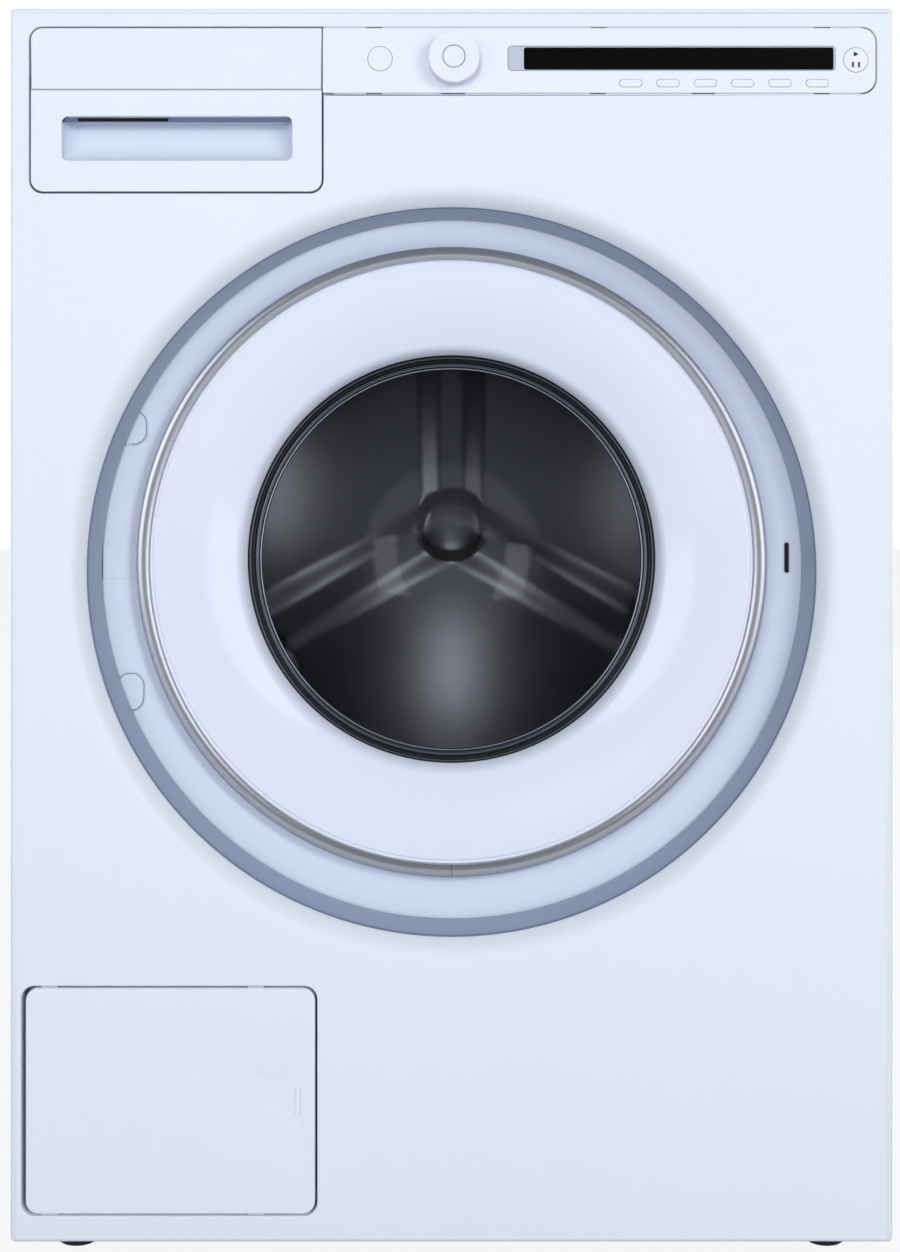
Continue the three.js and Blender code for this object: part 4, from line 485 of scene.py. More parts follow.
class Effects:
    """Shader groups that several finishes share."""

    def __init__(self) -> None:
        """Builds each group once."""
        self.cloud = self._cloud()
        self.peel = self._peel()
        self.spin = self._spin()
        self.punch = self._punch()
        self.dust = self._dust()

    @staticmethod
    def _cloud() -> bpy.types.NodeTree:
        """Slow drift of a colour: the colour times one less the share times a soft noise.

        Returns:
            The group.
        """
        group = Group("slow_drift", {"Colour": None, "Scale": 6.0, "Share": 0.04},
                      {"Colour": "Color", "Noise": "Float"})
        noise = group.noise(group.place(), group.given["Scale"], 3.0)
        shade = group.sum("SUBTRACT", 1.0, group.sum("MULTIPLY", noise, group.given["Share"]))
        return group.give(Colour=group.shaded(group.given["Colour"], shade), Noise=noise)

    @staticmethod
    def _peel() -> bpy.types.NodeTree:
        """Fine waviness of a coating or a moulding: a bump from two noises, one ten times finer.

        Returns:
            The group.
        """
        group = Group("coating_peel", {"Scale": 220.0, "Height": 0.00002}, {"Normal": "Vector"})
        place = group.place()
        broad = group.noise(place, group.given["Scale"], 1.0)
        fine = group.noise(place, group.sum("MULTIPLY", group.given["Scale"], 10.0), 1.0)
        height = group.sum("ADD", broad, group.sum("MULTIPLY", fine, 0.12))
        wiring = {"Height": height, "Distance": group.given["Height"], "Strength": 1.0}
        return group.give(Normal=group.put("Bump", wiring).outputs[0])

    @staticmethod
    def _spin() -> bpy.types.NodeTree:
        """Fine rings about the door axis: a noise of the radius and the depth alone.

        Returns:
            The group.
        """
        group = Group("spun_rings", {"Fineness": 900.0}, {"Value": "Float"})
        parts = group.put("SeparateXYZ", {0: group.place()}).outputs
        rise = group.sum("SUBTRACT", parts[2], AXIS_HEIGHT * MILLIMETRE)
        squares = [group.sum("MULTIPLY", part, part) for part in (parts[0], rise)]
        radius = group.sum("SQRT", group.sum("ADD", *squares))
        line = group.put("CombineXYZ", {0: radius, 1: parts[1]}).outputs[0]
        return group.give(Value=group.noise(line, group.given["Fineness"], 2.0))

    @staticmethod
    def _punch() -> bpy.types.NodeTree:
        """Punched holes in staggered rows over the UV map.

        The distance to the nearest hole is the smaller of the distances to two square lattices,
        one moved by half a pitch both ways. The mask is 1 inside the hole radius.

        Returns:
            The group.
        """
        group = Group("punched_holes", {"Pitch": 0.011, "Radius": 0.0018},
                      {"Hole": "Float", "Height": "Float"})
        pitch = group.given["Pitch"]
        parts = group.put("SeparateXYZ", {0: group.put("UVMap").outputs[0]}).outputs
        distances = []
        for shift in (0.0, 0.5):
            squares = []
            for part in (parts[0], parts[1]):
                cell = group.sum("ADD", group.sum("DIVIDE", part, pitch), shift)
                off = group.sum("SUBTRACT", group.sum("FRACT", cell), 0.5)
                squares.append(group.sum("MULTIPLY", off, off))
            distances.append(group.sum("SQRT", group.sum("ADD", *squares)))
        nearest = group.sum("MULTIPLY", group.sum("MINIMUM", *distances), pitch)
        share = group.sum("DIVIDE", nearest, group.given["Radius"])
        return group.give(Hole=group.range(share, 0.92, 1.06, 1.0, 0.0),
                          Height=group.range(share, 0.8, 1.5, -1.0, 0.0))

    @staticmethod
    def _dust() -> bpy.types.NodeTree:
        """Faint settled dust: the upward share of the normal times a noise.

        Returns:
            The group.
        """
        group = Group("settled_dust", {"Share": 0.2}, {"Mask": "Float"})
        normal = group.put("NewGeometry").outputs["Normal"]
        up = group.put("SeparateXYZ", {0: normal}).outputs[2]
        place = group.place()
        lying_up = group.range(up, 0.3, 1.0, 0.0, 1.0)
        amount = group.sum("MULTIPLY", lying_up, group.noise(place, 40.0, 4.0))
        return group.give(Mask=group.sum("MULTIPLY", amount, group.given["Share"]))


class Grain(Enum):
    """How a metal was worked."""

    SPUN = "spun"
    ROLLED = "rolled"
    CAST = "cast"
    SPANGLE = "spangle"


@dataclass(frozen=True)
class Coating:
    """Painted or moulded surface: a slow drift of the colour and a fine waviness."""

    name: str
    colour: Colour
    roughness: float = 0.35
    drift: float = 0.03
    drift_scale: float = 5.0
    peel_scale: float = 260.0
    peel_height: float = 0.000012
    coat: float = 0.0
    specular: float = 0.5
    dust: float = 0.08

    def wire(self, board: Board, effects: Effects) -> None:
        """Wires a dielectric whose roughness wanders with the same noise as its colour.

        Args:
            board: Board of the material.
            effects: The shared groups.
        """
        drift = {"Colour": self.colour, "Scale": self.drift_scale, "Share": self.drift}
        cloud = board.put("Group", drift, node_tree=effects.cloud).outputs
        dust = board.put("Group", {"Share": self.dust}, node_tree=effects.dust)
        waves = {"Scale": self.peel_scale, "Height": self.peel_height}
        peel = board.put("Group", waves, node_tree=effects.peel)
        colour = board.mix(dust.outputs[0], cloud["Colour"], tone(190, 186, 178))
        low, high = self.roughness * 0.9, self.roughness * 1.12
        board.surface(Base_Color=colour, Roughness=board.range(cloud["Noise"], 0.2, 0.8, low, high),
                      Normal=peel.outputs[0], Coat_Weight=self.coat, Coat_Roughness=0.06,
                      Specular_IOR_Level=self.specular)


@dataclass(frozen=True)
class Metal:
    """Bare metal with the grain of how it was worked."""

    name: str
    colour: Colour
    roughness: float
    grain: Grain
    grain_share: float = 0.3
    punched: bool = False

    def _grain(self, board: Board, effects: Effects) -> Any:
        """Grain of the metal.

        Args:
            board: Board of the material.
            effects: The shared groups.

        Returns:
            A value of 0 to 1: rings, stretched lines, cells or a coarse noise.
        """
        if self.grain is Grain.SPUN:
            return board.put("Group", {"Fineness": 1400.0}, node_tree=effects.spin).outputs[0]
        place = board.place()
        if self.grain is Grain.ROLLED:
            drawn = board.put("Mapping", {"Vector": place, "Scale": (40.0, 900.0, 40.0)})
            return board.noise(drawn.outputs[0], 1.0, 3.0)
        if self.grain is Grain.SPANGLE:
            cells = board.put("TexVoronoi", {"Vector": place, "Scale": 150.0})
            return board.put("SeparateColor", {0: cells.outputs["Color"]}).outputs[0]
        return board.noise(place, 160.0, 5.0)

    def wire(self, board: Board, effects: Effects) -> None:
        """Wires a metal whose brightness, roughness and bump follow its grain.

        Args:
            board: Board of the material.
            effects: The shared groups.
        """
        grain = self._grain(board, effects)
        shade = board.range(grain, 0.2, 0.8, 1.0 - 0.4 * self.grain_share, 1.0)
        colour = board.shaded(self.colour, shade)
        spread = self.roughness * self.grain_share
        roughness = board.range(grain, 0.2, 0.8, self.roughness - spread, self.roughness + spread)
        deep = (0.0002 if self.grain is Grain.CAST else 0.000014) * self.grain_share
        height = board.put("Bump", {"Height": grain, "Distance": deep, "Strength": 0.6})
        metallic: Any = 1.0
        if self.punched:
            punch = board.put("Group", node_tree=effects.punch).outputs
            # The holes are painted shade: near-black, matt spots where the dark tub behind would
            # show, not holes through the sheet.
            colour = board.mix(punch["Hole"], colour, tone(14, 13, 13))
            roughness = board.sum("MAXIMUM", roughness, punch["Hole"])
            metallic = board.sum("SUBTRACT", 1.0, punch["Hole"])
            height = board.put("Bump", {"Height": punch["Height"], "Distance": 0.0004,
                                        "Normal": height.outputs[0]})
        board.surface(Base_Color=colour, Roughness=roughness, Metallic=metallic,
                      Normal=height.outputs[0])


@dataclass(frozen=True)
class ClearGlass:
    """Pressed clear glass with a slow waviness."""

    name: str
    colour: Colour

    def wire(self, board: Board, effects: Effects) -> None:
        """Wires a full transmission with a faint drift of the tint and waves in the normal.

        Args:
            board: Board of the material.
            effects: The shared groups.
        """
        drift = {"Colour": self.colour, "Scale": 9.0, "Share": 0.03}
        cloud = board.put("Group", drift, node_tree=effects.cloud).outputs
        peel = board.put("Group", {"Scale": 26.0, "Height": 0.00006}, node_tree=effects.peel)
        roughness = board.range(cloud["Noise"], 0.3, 0.8, 0.0, 0.03)
        board.surface(Base_Color=cloud["Colour"], Roughness=roughness, IOR=1.33,
                      Transmission_Weight=1.0, Normal=peel.outputs[0])


FINISHES = (
    Coating("enamel", tone(223, 231, 243), 0.32, coat=0.15),
    Coating("drawer_white", tone(223, 231, 243), 0.38, dust=0.04),
    Coating("strip_white", tone(225, 232, 247), 0.4, dust=0.03),
    Coating("seam_white", tone(184, 192, 211), 0.5, dust=0.0),
    Coating("frame_white", tone(219, 226, 243), 0.16, coat=0.6, dust=0.0),
    # recess_shade is painted shade: the recess wall, the same enamelled steel, is coloured a darker
    # blue-grey for the shadow that lies in the recess.
    Coating("recess_shade", tone(150, 164, 190), 0.34, coat=0.15, dust=0.0),
    # recess_line is a painted shadow line where the roll turns into the wall.
    Coating("recess_line", tone(120, 132, 162), 0.34, dust=0.0),
    # slate_seam is painted shade: a slate colour for the dark slit under the top edge of the
    # drawer's finger recess.
    Coating("slate_seam", tone(92, 100, 132), 0.4, 0.1, 60.0, dust=0.0),
    Coating("surround_white", tone(208, 218, 239), 0.3, dust=0.0),
    Coating("recess_lilac", tone(212, 222, 240), 0.3, dust=0.0),
    Coating("knob_white", tone(225, 231, 245), 0.36, dust=0.02),
    Metal("ring_steel", tone(214, 218, 228), 0.3, Grain.SPUN, 0.08),
    Metal("rim_steel", tone(112, 118, 134), 0.2, Grain.SPUN, 0.02),
    Metal("drum_steel", tone(158, 159, 164), 0.3, Grain.SPUN, 0.06),
    Metal("punched_steel", tone(154, 155, 160), 0.28, Grain.ROLLED, 0.3, punched=True),
    Metal("zinc_steel", tone(206, 209, 212), 0.46, Grain.SPANGLE, 0.13),
    Metal("light_alloy", tone(176, 178, 182), 0.45, Grain.CAST, 0.4),
    Metal("weight_iron", tone(70, 70, 74), 0.62, Grain.CAST, 0.5),
    Coating("seal_rubber", tone(92, 94, 98), 0.55, 0.2, 30.0, 500.0, 4e-5),
    # black_band is the real black band by the glass, and painted shade in the latch slot and the
    # drawer's slit.
    Coating("black_band", tone(12, 13, 15), 0.2, 0.2, 30.0, 500.0, 1e-5, dust=0.0),
    Coating("grey_plastic", tone(150, 154, 162), 0.45, 0.08, 12.0, 600.0, 3e-5),
    Coating("dark_plastic", tone(46, 50, 58), 0.5, 0.2, 20.0, 700.0, 4e-5),
    Coating("display_plastic", tone(6, 10, 9), 0.3, 0.3, 8.0, specular=0.12, dust=0.0),
    Coating("mark_navy", tone(34, 40, 62), 0.5, 0.1, 60.0, dust=0.0),
    Coating("outline_grey", tone(150, 157, 184), 0.5, 0.1, 60.0, dust=0.0),
    ClearGlass("clear_glass", tone(214, 218, 224)),
)


def mixed() -> dict[str, bpy.types.Material]:
    """Builds the shared groups and every finish.

    Returns:
        The materials by name.
    """
    effects = Effects()
    palette = {}
    for finish in FINISHES:
        palette[finish.name] = bpy.data.materials.new(finish.name)
        finish.wire(Board(palette[finish.name]), effects)
    return palette


@dataclass
class Assembly:
    """Part of the machine that is dressed in the shared finishes."""

    palette: dict[str, bpy.types.Material]

    def piece(self, draft: Draft, name: str, body: str | None, slot: str, finishes: str,
              stands_for: Sequence[str] = (), toward: Sequence[float] | None = None,
              sharp: float = 34.0) -> bpy.types.Object:
        """Turns a draft into a piece of the machine.

        Args:
            draft: Its points and faces.
            name: Name of the piece.
            body: Body that it rides on, or None for one that rides on no body.
            slot: Material slot of the record; not used.
            finishes: Names of its finishes by kind, with spaces between.
            stands_for: Nodes that it replaces.
            toward: Way that most of an open sheet faces.
            sharp: Angle in degrees over which an edge stays sharp.

        Returns:
            The object.
        """
        item = draft.item(name, [self.palette[key] for key in finishes.split()], toward, sharp)
        if body:
            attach(item, body)
        if stands_for:
            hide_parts(*stands_for)
        LOG.info("%s on %s, %d faces", name, body or "two bodies", len(item.data.polygons))
        return item


# ---------------------------------------------------------------- cabinet


@dataclass
class Cabinet(Assembly):
    """Pressed steel cabinet: front panel with its round recess and its openings, and the feet."""

    half_width: float = 297.5
    low: float = 18.0
    high: float = 850.0
    panel_edge: float = 3.0
    front_return: float = 18.0
    recess_height: float = 469.0
    roll_start: float = 262.5
    roll_end: float = 247.9
    roll_depth: float = 11.0
    recess_depth: float = 34.0
    recess_foot: float = 241.7
    lip_radius: float = 0.9
    lip_depth: float = 12.0
    foot_side: float = 260.0
    foot_front: float = 48.0
    foot_rear: float = 537.0
    thread_pitch: float = 1.6

    def build(self) -> None:
        """Adds the front panel and the feet."""
        self.front_panel()
        self.feet()

    def _lip(self, opening: Outline) -> Array:
        """Rounded lip turned in round an opening, with a folded end.

        Args:
            opening: Outline of the opening.

        Returns:
            Rows of points: a quarter circle from the face, the lip and its fold.
        """
        angle = np.linspace(0, np.pi / 2, 5)
        arc = pairs(-self.lip_radius * (1 - np.sin(angle)), self.lip_radius * (1 - np.cos(angle)))
        return swept(opening, [(-self.lip_radius * 1.15 - 0.05, 0.0), *arc, (0.0, self.lip_depth),
                               (-1.0, self.lip_depth), (-1.0, 2.0)])

    def front_panel(self) -> None:
        """Front panel: outer edge, recess and openings carried as profiles, the face filled.

        The roll into the recess deepens with the share of the way in to the power 1.9. The upper
        opening is stepped, for the drawer and the strip together, and the lower is the hatch's.
        """
        draft = Draft()
        border = Outline.box(-self.half_width, self.half_width, self.low, self.high, 3.0, 4)
        outer = swept(border, [(1.0, 3.0), (1.0, self.front_return), (0.0, self.front_return),
                               *edge(self.panel_edge, 0.0, 8)])
        draft.grid(outer)
        share = np.linspace(0, 1, 15)
        roll = pairs(self.roll_start - (self.roll_start - self.roll_end) * share,
                     self.roll_depth * share**1.9)
        recess = turned([
            (self.roll_start + 0.6, 0.0), *roll, (self.roll_end - 0.7, self.roll_depth + 3.0),
            (self.recess_foot, self.recess_depth), (self.recess_foot + 1.0, self.recess_depth),
            (self.roll_end + 1.0, self.roll_depth + 4.0)], 288, z=self.recess_height)
        # Kind 2 paints a shadow line from the roll's end a little way down the wall, and kind 1
        # paints the wall and its folded back in darker shade.
        draft.grid(recess[:-4]).grid(recess[-5:-3], kind=2).grid(recess[-4:], kind=1)
        fascia = self._lip(Outline.cornered([
            (-284.8, 725.2, 9.0), (-86.3, 725.2, 9.0), (-86.3, 792.1, 0.4), (286.7, 792.1, 10.4),
            (286.7, 837.3, 10.4), (-87.0, 837.3, 0.3), (-87.6, 837.5, 0.3), (-284.8, 837.5, 9.0)]))
        hatch = self._lip(Outline.box(-290.0, -90.5, 35.9, 190.9, 9.0))
        draft.grid(fascia).grid(hatch).fill(outer[-1], recess[0], fascia[0], hatch[0])
        self.piece(draft, "dressed_front_panel", "cabinet", "cabinet_paint",
                   "enamel recess_shade recess_line", ["front_panel"], FRONT)

    def feet(self) -> None:
        """Levelling feet: a ribbed pad, a hexagon nut and a threaded stem, turned upright.

        The thread's radius is its mean plus its half depth times the cosine of the turns risen.
        """
        pad = [(0.0, 0.0), (11.5, 0.0), (13.0, 0.6), (15.0, 2.2), (16.2, 4.6), (18.4, 10.5),
               (19.0, 12.0), (19.0, 15.8), (18.2, 17.0), (16.0, 17.6), (5.0, 17.7)]
        nut = [(5.0, 21.0), (9.2, 21.2), (9.8, 22.0), (9.8, 26.0), (9.2, 26.8), (5.0, 27.0)]
        rise = np.arange(0, 44.2, 0.4)
        thread = pairs(4.55 + 0.45 * np.cos(rise * 2 * np.pi / self.thread_pitch), 17.7 + rise)
        for end, depth in (("front", self.foot_front), ("rear", self.foot_rear)):
            for side, x in (("left", -self.foot_side), ("right", self.foot_side)):
                draft = Draft().grid(turned_up(pad, x, depth, 48))
                draft.grid(turned_up([*thread, (0.0, 62.0)], x, depth, 20), kind=1)
                draft.grid(turned_up(nut, x, depth, 6), kind=1)
                foot = f"levelling_foot_{end}_{side}"
                self.piece(draft, f"dressed_foot_{end}_{side}", foot, "dark_plastic",
                           "dark_plastic zinc_steel", [foot])


# ---------------------------------------------------------------- door


@dataclass
class Door(Assembly):
    """Round door: steel ring, dished white frame, inner frame and glass bowl."""

    ring_radius: float = 217.6
    ring_width: float = 9.0
    ring_front: float = 30.0
    ring_back: float = 34.0
    ring_fall: float = 1.5
    skirt: float = 1.2
    skirt_end: float = 50.0
    pocket_half: float = 0.078
    seam_angle: float = 0.0009
    frame_outer: float = 208.5
    frame_hole: float = 145.0
    frame_front: float = 32.5
    frame_dish: float = 17.5
    frame_power: float = 1.6
    mouth: float = 137.0
    glass_near: float = 57.3
    glass_wall: float = 3.0
    glass_flange: float = 152.0
    bowl_power: float = 1.9
    bowl_taper: float = 34.0
    bowl_depth: float = 99.0
    lip_start: float = 152.0
    screw_circle: float = 186.0
    catch_half: float = 8.0

    def build(self) -> None:
        """Adds the pieces of the door from the ring inwards."""
        self.ring()
        self.frame()
        self.glass()
        self.glass_bands()
        self.inner_frame()

    def ring(self) -> None:
        """Steel ring with a nearly flat crest, open at a fine seam below.

        The crest lies back by the fall times the square of the way to a side. The skirt leaves
        out the hinge pocket.
        """
        outside, under = self.ring_radius, self.ring_radius - self.skirt
        inside = outside - self.ring_width
        side = np.linspace(0.92, -0.92, 23)
        crest = pairs((outside + inside) / 2 + self.ring_width / 2 * side,
                      self.ring_front + self.ring_fall * side**2)
        face = [(outside, self.ring_back), (outside, 32.2), (outside - 0.12, 31.6), *crest,
                (inside + 0.12, 31.6), (inside, 32.2), (inside, self.ring_back + 0.2),
                (under, self.ring_back + 0.2)]
        skirt = [(outside, self.ring_back), (outside, self.skirt_end), (under, self.skirt_end),
                 (under, self.ring_back)]
        draft = Draft()
        for profile, steps, start, gap in ((face, 320, -np.pi / 2, self.seam_angle),
                                           (skirt, 300, -np.pi, self.pocket_half)):
            rows = turned(profile, steps, start=start + gap, sweep=2 * (np.pi - gap))
            draft.grid(rows, around=False)
        self.piece(draft, "dressed_door_ring", "door", "door_steel", "ring_steel", ["door_ring"],
                   FRONT, 50)

    def dish(self, radius: Array) -> Array:
        """Depth of the dish: its front plus the dish times the share of the way in, to a power."""
        share = np.clip((self.frame_outer - radius) / (self.frame_outer - self.frame_hole), 0, 1)
        return self.frame_front + self.frame_dish * share**self.frame_power

    def frame(self) -> None:
        """Dished frame with a fine bead beside the ring and a rolled lip at the glass.

        The lip goes on from the dish: it falls back by 3.4 times the share of the way in, plus
        6.2 times that share to the power 2.6.
        """
        bead = [(208.5, 35.0), (208.5, 33.2), (208.0, 32.8), (207.4, 33.0), (206.9, 33.5),
                (206.4, 33.5), (205.9, 33.0), (205.5, 32.8)]
        radius, back = np.linspace(205.2, self.lip_start, 48), np.linspace(149.0, 206.0, 20)
        face = pairs(radius, self.dish(radius))
        share = np.linspace(0, 1, 12)[1:]
        lip = pairs(self.lip_start - 8.6 * share, face[-1][1] + 3.4 * share + 6.2 * share**2.6)
        profile = [*bead, *face, *lip, (143.3, 57.0), (145.6, 57.0),
                   *pairs(back, self.dish(back) + 2.5), (213.6, 36.8), (213.6, 57.0),
                   (216.1, 57.0), (216.1, 34.6), (208.5, 34.6)]
        self.piece(Draft().grid(turned(profile, 256)), "dressed_door_frame", "door",
                   "surround_plastic", "frame_white", ["door_frame"], sharp=40)

    def bowl(self, mouth: float, near: float, deep: float) -> Profile:
        """Half profile of the bowl: radius (mouth less taper times sin squared) times the root of
        cos, depth near plus deep times sin, both to the bowl's power.

        Args:
            mouth: Radius at the mouth.
            near: Depth of the mouth.
            deep: How far in the bowl reaches.

        Returns:
            Pairs of radius and depth, from the mouth to the middle.
        """
        turn = np.linspace(0, np.pi / 2, 45)
        radius = mouth - self.bowl_taper * np.sin(turn) ** 2
        radius *= np.cos(turn) ** (1 / self.bowl_power)
        radius[-1] = 0.0
        return pairs(radius, near + deep * np.sin(turn) ** self.bowl_power)

    def glass(self) -> None:
        """Pressed bowl with its flange, both faces closed into one shell."""
        near, far, rim = self.glass_near, self.glass_near + self.glass_wall, self.glass_flange
        inside = self.bowl(self.mouth, near, self.bowl_depth)
        outside = self.bowl(self.mouth + 4, far, self.bowl_depth + 1)
        profile = [*inside[::-1], (rim - 0.6, near), (rim, near + 0.6), (rim, far - 0.6),
                   (rim - 0.6, far), *outside]
        self.piece(Draft().grid(turned(profile, 192)), "dressed_door_glass", "door", "door_glass",
                   "clear_glass", ["door_glass"], sharp=60)

    def glass_bands(self) -> None:
        """Dark band under the glass flange with four half-round beads, seen through the hole.

        A bead's points are its middle less its half width times (cos a, sin a).
        """
        draft = Draft().grid(turned([(143.2, 56.9), (133.0, 56.9), (133.0, 57.2), (143.2, 57.2),
                                     (143.2, 56.9)], 192))
        turn = np.linspace(np.pi, 0, 7)
        for middle, half, kind in ((134.0, 0.45, 1), (136.4, 1.4, 2), (139.2, 0.8, 0),
                                   (141.4, 0.7, 2)):
            bead = pairs(middle - half * np.cos(turn), 56.9 - half * np.sin(turn))
            draft.grid(turned(bead, 240), kind=kind)
        self.piece(draft, "glass_band", "door", "dark_plastic", "black_band ring_steel rim_steel",
                   sharp=60)

    def inner_frame(self) -> None:
        """Inner frame with a stepped back, eight screws and the catch."""
        profile = [(152.3, 57.3), (216.1, 57.3), (216.1, 60.8), (215.4, 61.8), (214.4, 62.0),
                   (160.0, 62.0), (158.4, 62.4), (154.6, 63.8), (153.6, 64.0), (147.0, 64.0),
                   (146.0, 63.2), (146.0, 60.6), (152.3, 60.6), (152.3, 57.3)]
        draft = Draft().grid(turned(profile, 192))
        screw = [(0.0, 63.2), (1.4, 63.2), (1.5, 63.9), (3.4, 63.6), (4.2, 62.8), (4.3, 61.9)]
        for angle in np.deg2rad(np.arange(22.5, 360, 45)):
            x, z = self.screw_circle * np.cos(angle), self.screw_circle * np.sin(angle)
            draft.grid(turned(screw, 24, x, AXIS_HEIGHT + z), kind=1)
        hook = Outline.cornered([(196.0, 61.8, 0.2), (200.0, 61.8, 0.2), (200.0, 84.0, 0.8),
                                 (191.0, 84.0, 0.8), (196.0, 79.0, 0.4)], 4).points
        rows = [lying(hook, AXIS_HEIGHT + rise) for rise in (-self.catch_half, self.catch_half)]
        draft.closed(np.stack(rows), kind=1)
        self.piece(draft, "dressed_inner_frame", "door", "surround_plastic",
                   "frame_white zinc_steel", ["door_inner_frame"], sharp=35)


# ---------------------------------------------------------------- tub front


@dataclass
class TubFront(Assembly):
    """What the tub shows round the door: surround, latch slot, hinge covers and seal."""

    outer: float = 247.4
    well: float = 218.6
    front: float = 37.0
    slope: float = 7.0
    hole: float = 160.8
    slot_half: float = 12.08
    neck_half: float = 12.0
    pin: tuple[float, float] = (-259.0, 13.0)
    latch: tuple[float, float] = (232.5, 476.5)
    latch_half: tuple[float, float] = (2.6, 11.6)
    cap_upper: tuple[float, float, float, float] = (-236.0, -211.4, 555.0, 578.6)
    cap_lower: tuple[float, float, float, float] = (-232.0, -213.2, 370.6, 396.6)
    cap_corner: float = 9.0

    def build(self) -> None:
        """Adds the surround and what is let into it, the hinge arm and the seal."""
        self.surround()
        self.latch_slot()
        self.hinge_covers()
        self.hinge_neck()
        self.seal()

    def floor(self, x: Array, z: Array | float) -> Array:
        """Works out the depth of the floor at a place.

        Args:
            x: Place across.
            z: Height.

        Returns:
            The front plus the slope times the square of the share of the way in to the well.
        """
        radius = np.hypot(x, z - AXIS_HEIGHT)
        share = np.clip((self.outer - radius) / (self.outer - self.well), 0, 1)
        return self.front + self.slope * share**2

    def draped(self, outline: Outline, profile: Profile) -> Array:
        """Carries a profile round an outline that lies on the floor.

        Args:
            outline: The path.
            profile: Pairs of how far in from the outline, and rise above the floor.

        Returns:
            Rows of points, one row for each pair.
        """
        flat = np.stack([outline.at(inset) for inset, _ in profile])
        depth = self.floor(flat[..., 0], flat[..., 1]) - np.array(profile)[:, 1:]
        return np.stack([flat[..., 0], depth, flat[..., 1]], axis=-1)

    def surround(self) -> None:
        """Floor of the recess and the well, with a slot for the hinge neck on the left."""
        radius = np.linspace(self.outer, self.well, 14)
        upper = [(self.outer, self.front + 2), *pairs(radius, self.floor(radius, AXIS_HEIGHT)),
                 (self.well + 0.2, 45.0), (222.0, 47.0), (222.0, 60.0), (222.0, 66.0)]
        lower = [(222.0, 66.0), (222.0, 72.5), (220.6, 74.0), (162.0, 74.0), (self.hole, 74.6),
                 (self.hole, 76.0)]
        radius, depth = np.array(upper).T[..., None]
        half = np.arcsin(self.slot_half / radius)
        angle = -np.pi + half + 2 * (np.pi - half) * np.linspace(0, 1, 301)
        rows = [radius * np.cos(angle), depth, AXIS_HEIGHT + radius * np.sin(angle)]
        draft = Draft().grid(np.stack(np.broadcast_arrays(*rows), axis=-1), around=False)
        draft.grid(turned(lower, 300))
        self.piece(draft, "dressed_surround", "tub", "surround_plastic", "surround_white",
                   ["door_surround"], FRONT, 40)

    def latch_slot(self) -> None:
        """Rounded slot with a fine raised rim, laid on the floor, its inside a flat black cap that
        is painted shade for the slot's depth.
        """
        (x, z), (wide, tall) = self.latch, self.latch_half
        outline = Outline.box(x - wide, x + wide, z - tall, z + tall, 2.5)
        rim = [(0.0, 0.02), (0.25, 0.5), (0.6, 0.65), (0.9, 0.45), (1.1, 0.06)]
        draft = Draft().grid(self.draped(outline, rim))
        # The cap is painted shade: a black sheet where the slot would only be dark.
        draft.capped(self.draped(outline, [(1.05, 0.1), (2.3, 0.08)]), kind=1)
        self.piece(draft, "latch_slot", "tub", "dark_plastic", "surround_white black_band",
                   toward=FRONT)

    def hinge_covers(self) -> None:
        """Two rounded caps let into the floor, half under the foot of the recess wall."""
        profile = [(-1.2, 0.02), (-0.8, 0.7), (-0.3, 0.8), (0.0, 0.05), (0.6, 0.05), (0.9, 0.5),
                   (1.7, 0.5), (4.0, 0.5), (7.0, 0.5)]
        for name, place in (("upper", self.cap_upper), ("lower", self.cap_lower)):
            rows = self.draped(Outline.box(*place, self.cap_corner, 14), profile)
            draft = Draft().grid(rows[:3]).grid(rows[2:5], kind=1).capped(rows[4:])
            self.piece(draft, f"hinge_cap_{name}", "tub", "surround_plastic",
                       "surround_white outline_grey", toward=FRONT)

    def hinge_neck(self) -> None:
        """Hinge arm: eye, leg and a neck whose face lies flush with the floor.

        The plan outline runs along the floor's own curve, and back round the neck's two arcs
        about the pin. Every point is the pin plus radius times (cos a, sin a).
        """
        pin = np.array(self.pin)

        def arc(radius: float, first: float, last: float) -> Array:
            """Arc about the pin between two angles in degrees."""
            angle = np.deg2rad(np.linspace(first, last, 22))
            return pin + radius * np.stack([np.cos(angle), np.sin(angle)], axis=1)

        x = np.linspace(-241.5, -218.7, 16)
        face = np.stack([x, self.floor(x, AXIS_HEIGHT)], axis=1)
        leaf = [[-218.0, 54.0], [-200.7, 55.8], [-163.7, 55.8], [-163.7, 57.2], [-200.7, 57.2],
                [-221.0, 57.2]]
        way = np.deg2rad(157.0)
        along, aside = np.array([np.cos(way), np.sin(way)]), np.array([-np.sin(way), np.cos(way)])
        neck = np.concatenate([face, leaf, face[-2::-1] + np.array([-2.6, 3.4]),
                               arc(35.0, 62.0, 157.0), [pin + along * 31.0],
                               arc(31.0, 156.0, 52.0)])
        rises = np.linspace(-self.neck_half, self.neck_half, 9)
        rows = np.stack([lying(neck, AXIS_HEIGHT + rise) for rise in rises])
        rows[:, : len(face), 1] = self.floor(rows[:, : len(face), 0], rows[:, : len(face), 2])
        draft = Draft().closed(rows)
        leg = np.stack([pin + aside * 2, pin - aside * 2, pin + along * 33 - aside * 2,
                        pin + along * 33 + aside * 2])
        draft.closed(np.stack([lying(leg, AXIS_HEIGHT + rise) for rise in rises[[0, -1]]]), kind=1)
        eye = [(2.7, 462.0), (4.6, 462.0), (5.0, 462.4), (5.0, 485.6), (4.6, 486.0), (2.7, 486.0),
               (2.7, 462.0)]
        draft.grid(turned_up(eye, *pin, 40), kind=1)
        self.piece(draft, "dressed_hinge_arm", "door", "zinc_steel", "surround_white zinc_steel",
                   ["door_hinge_arm"], sharp=30)

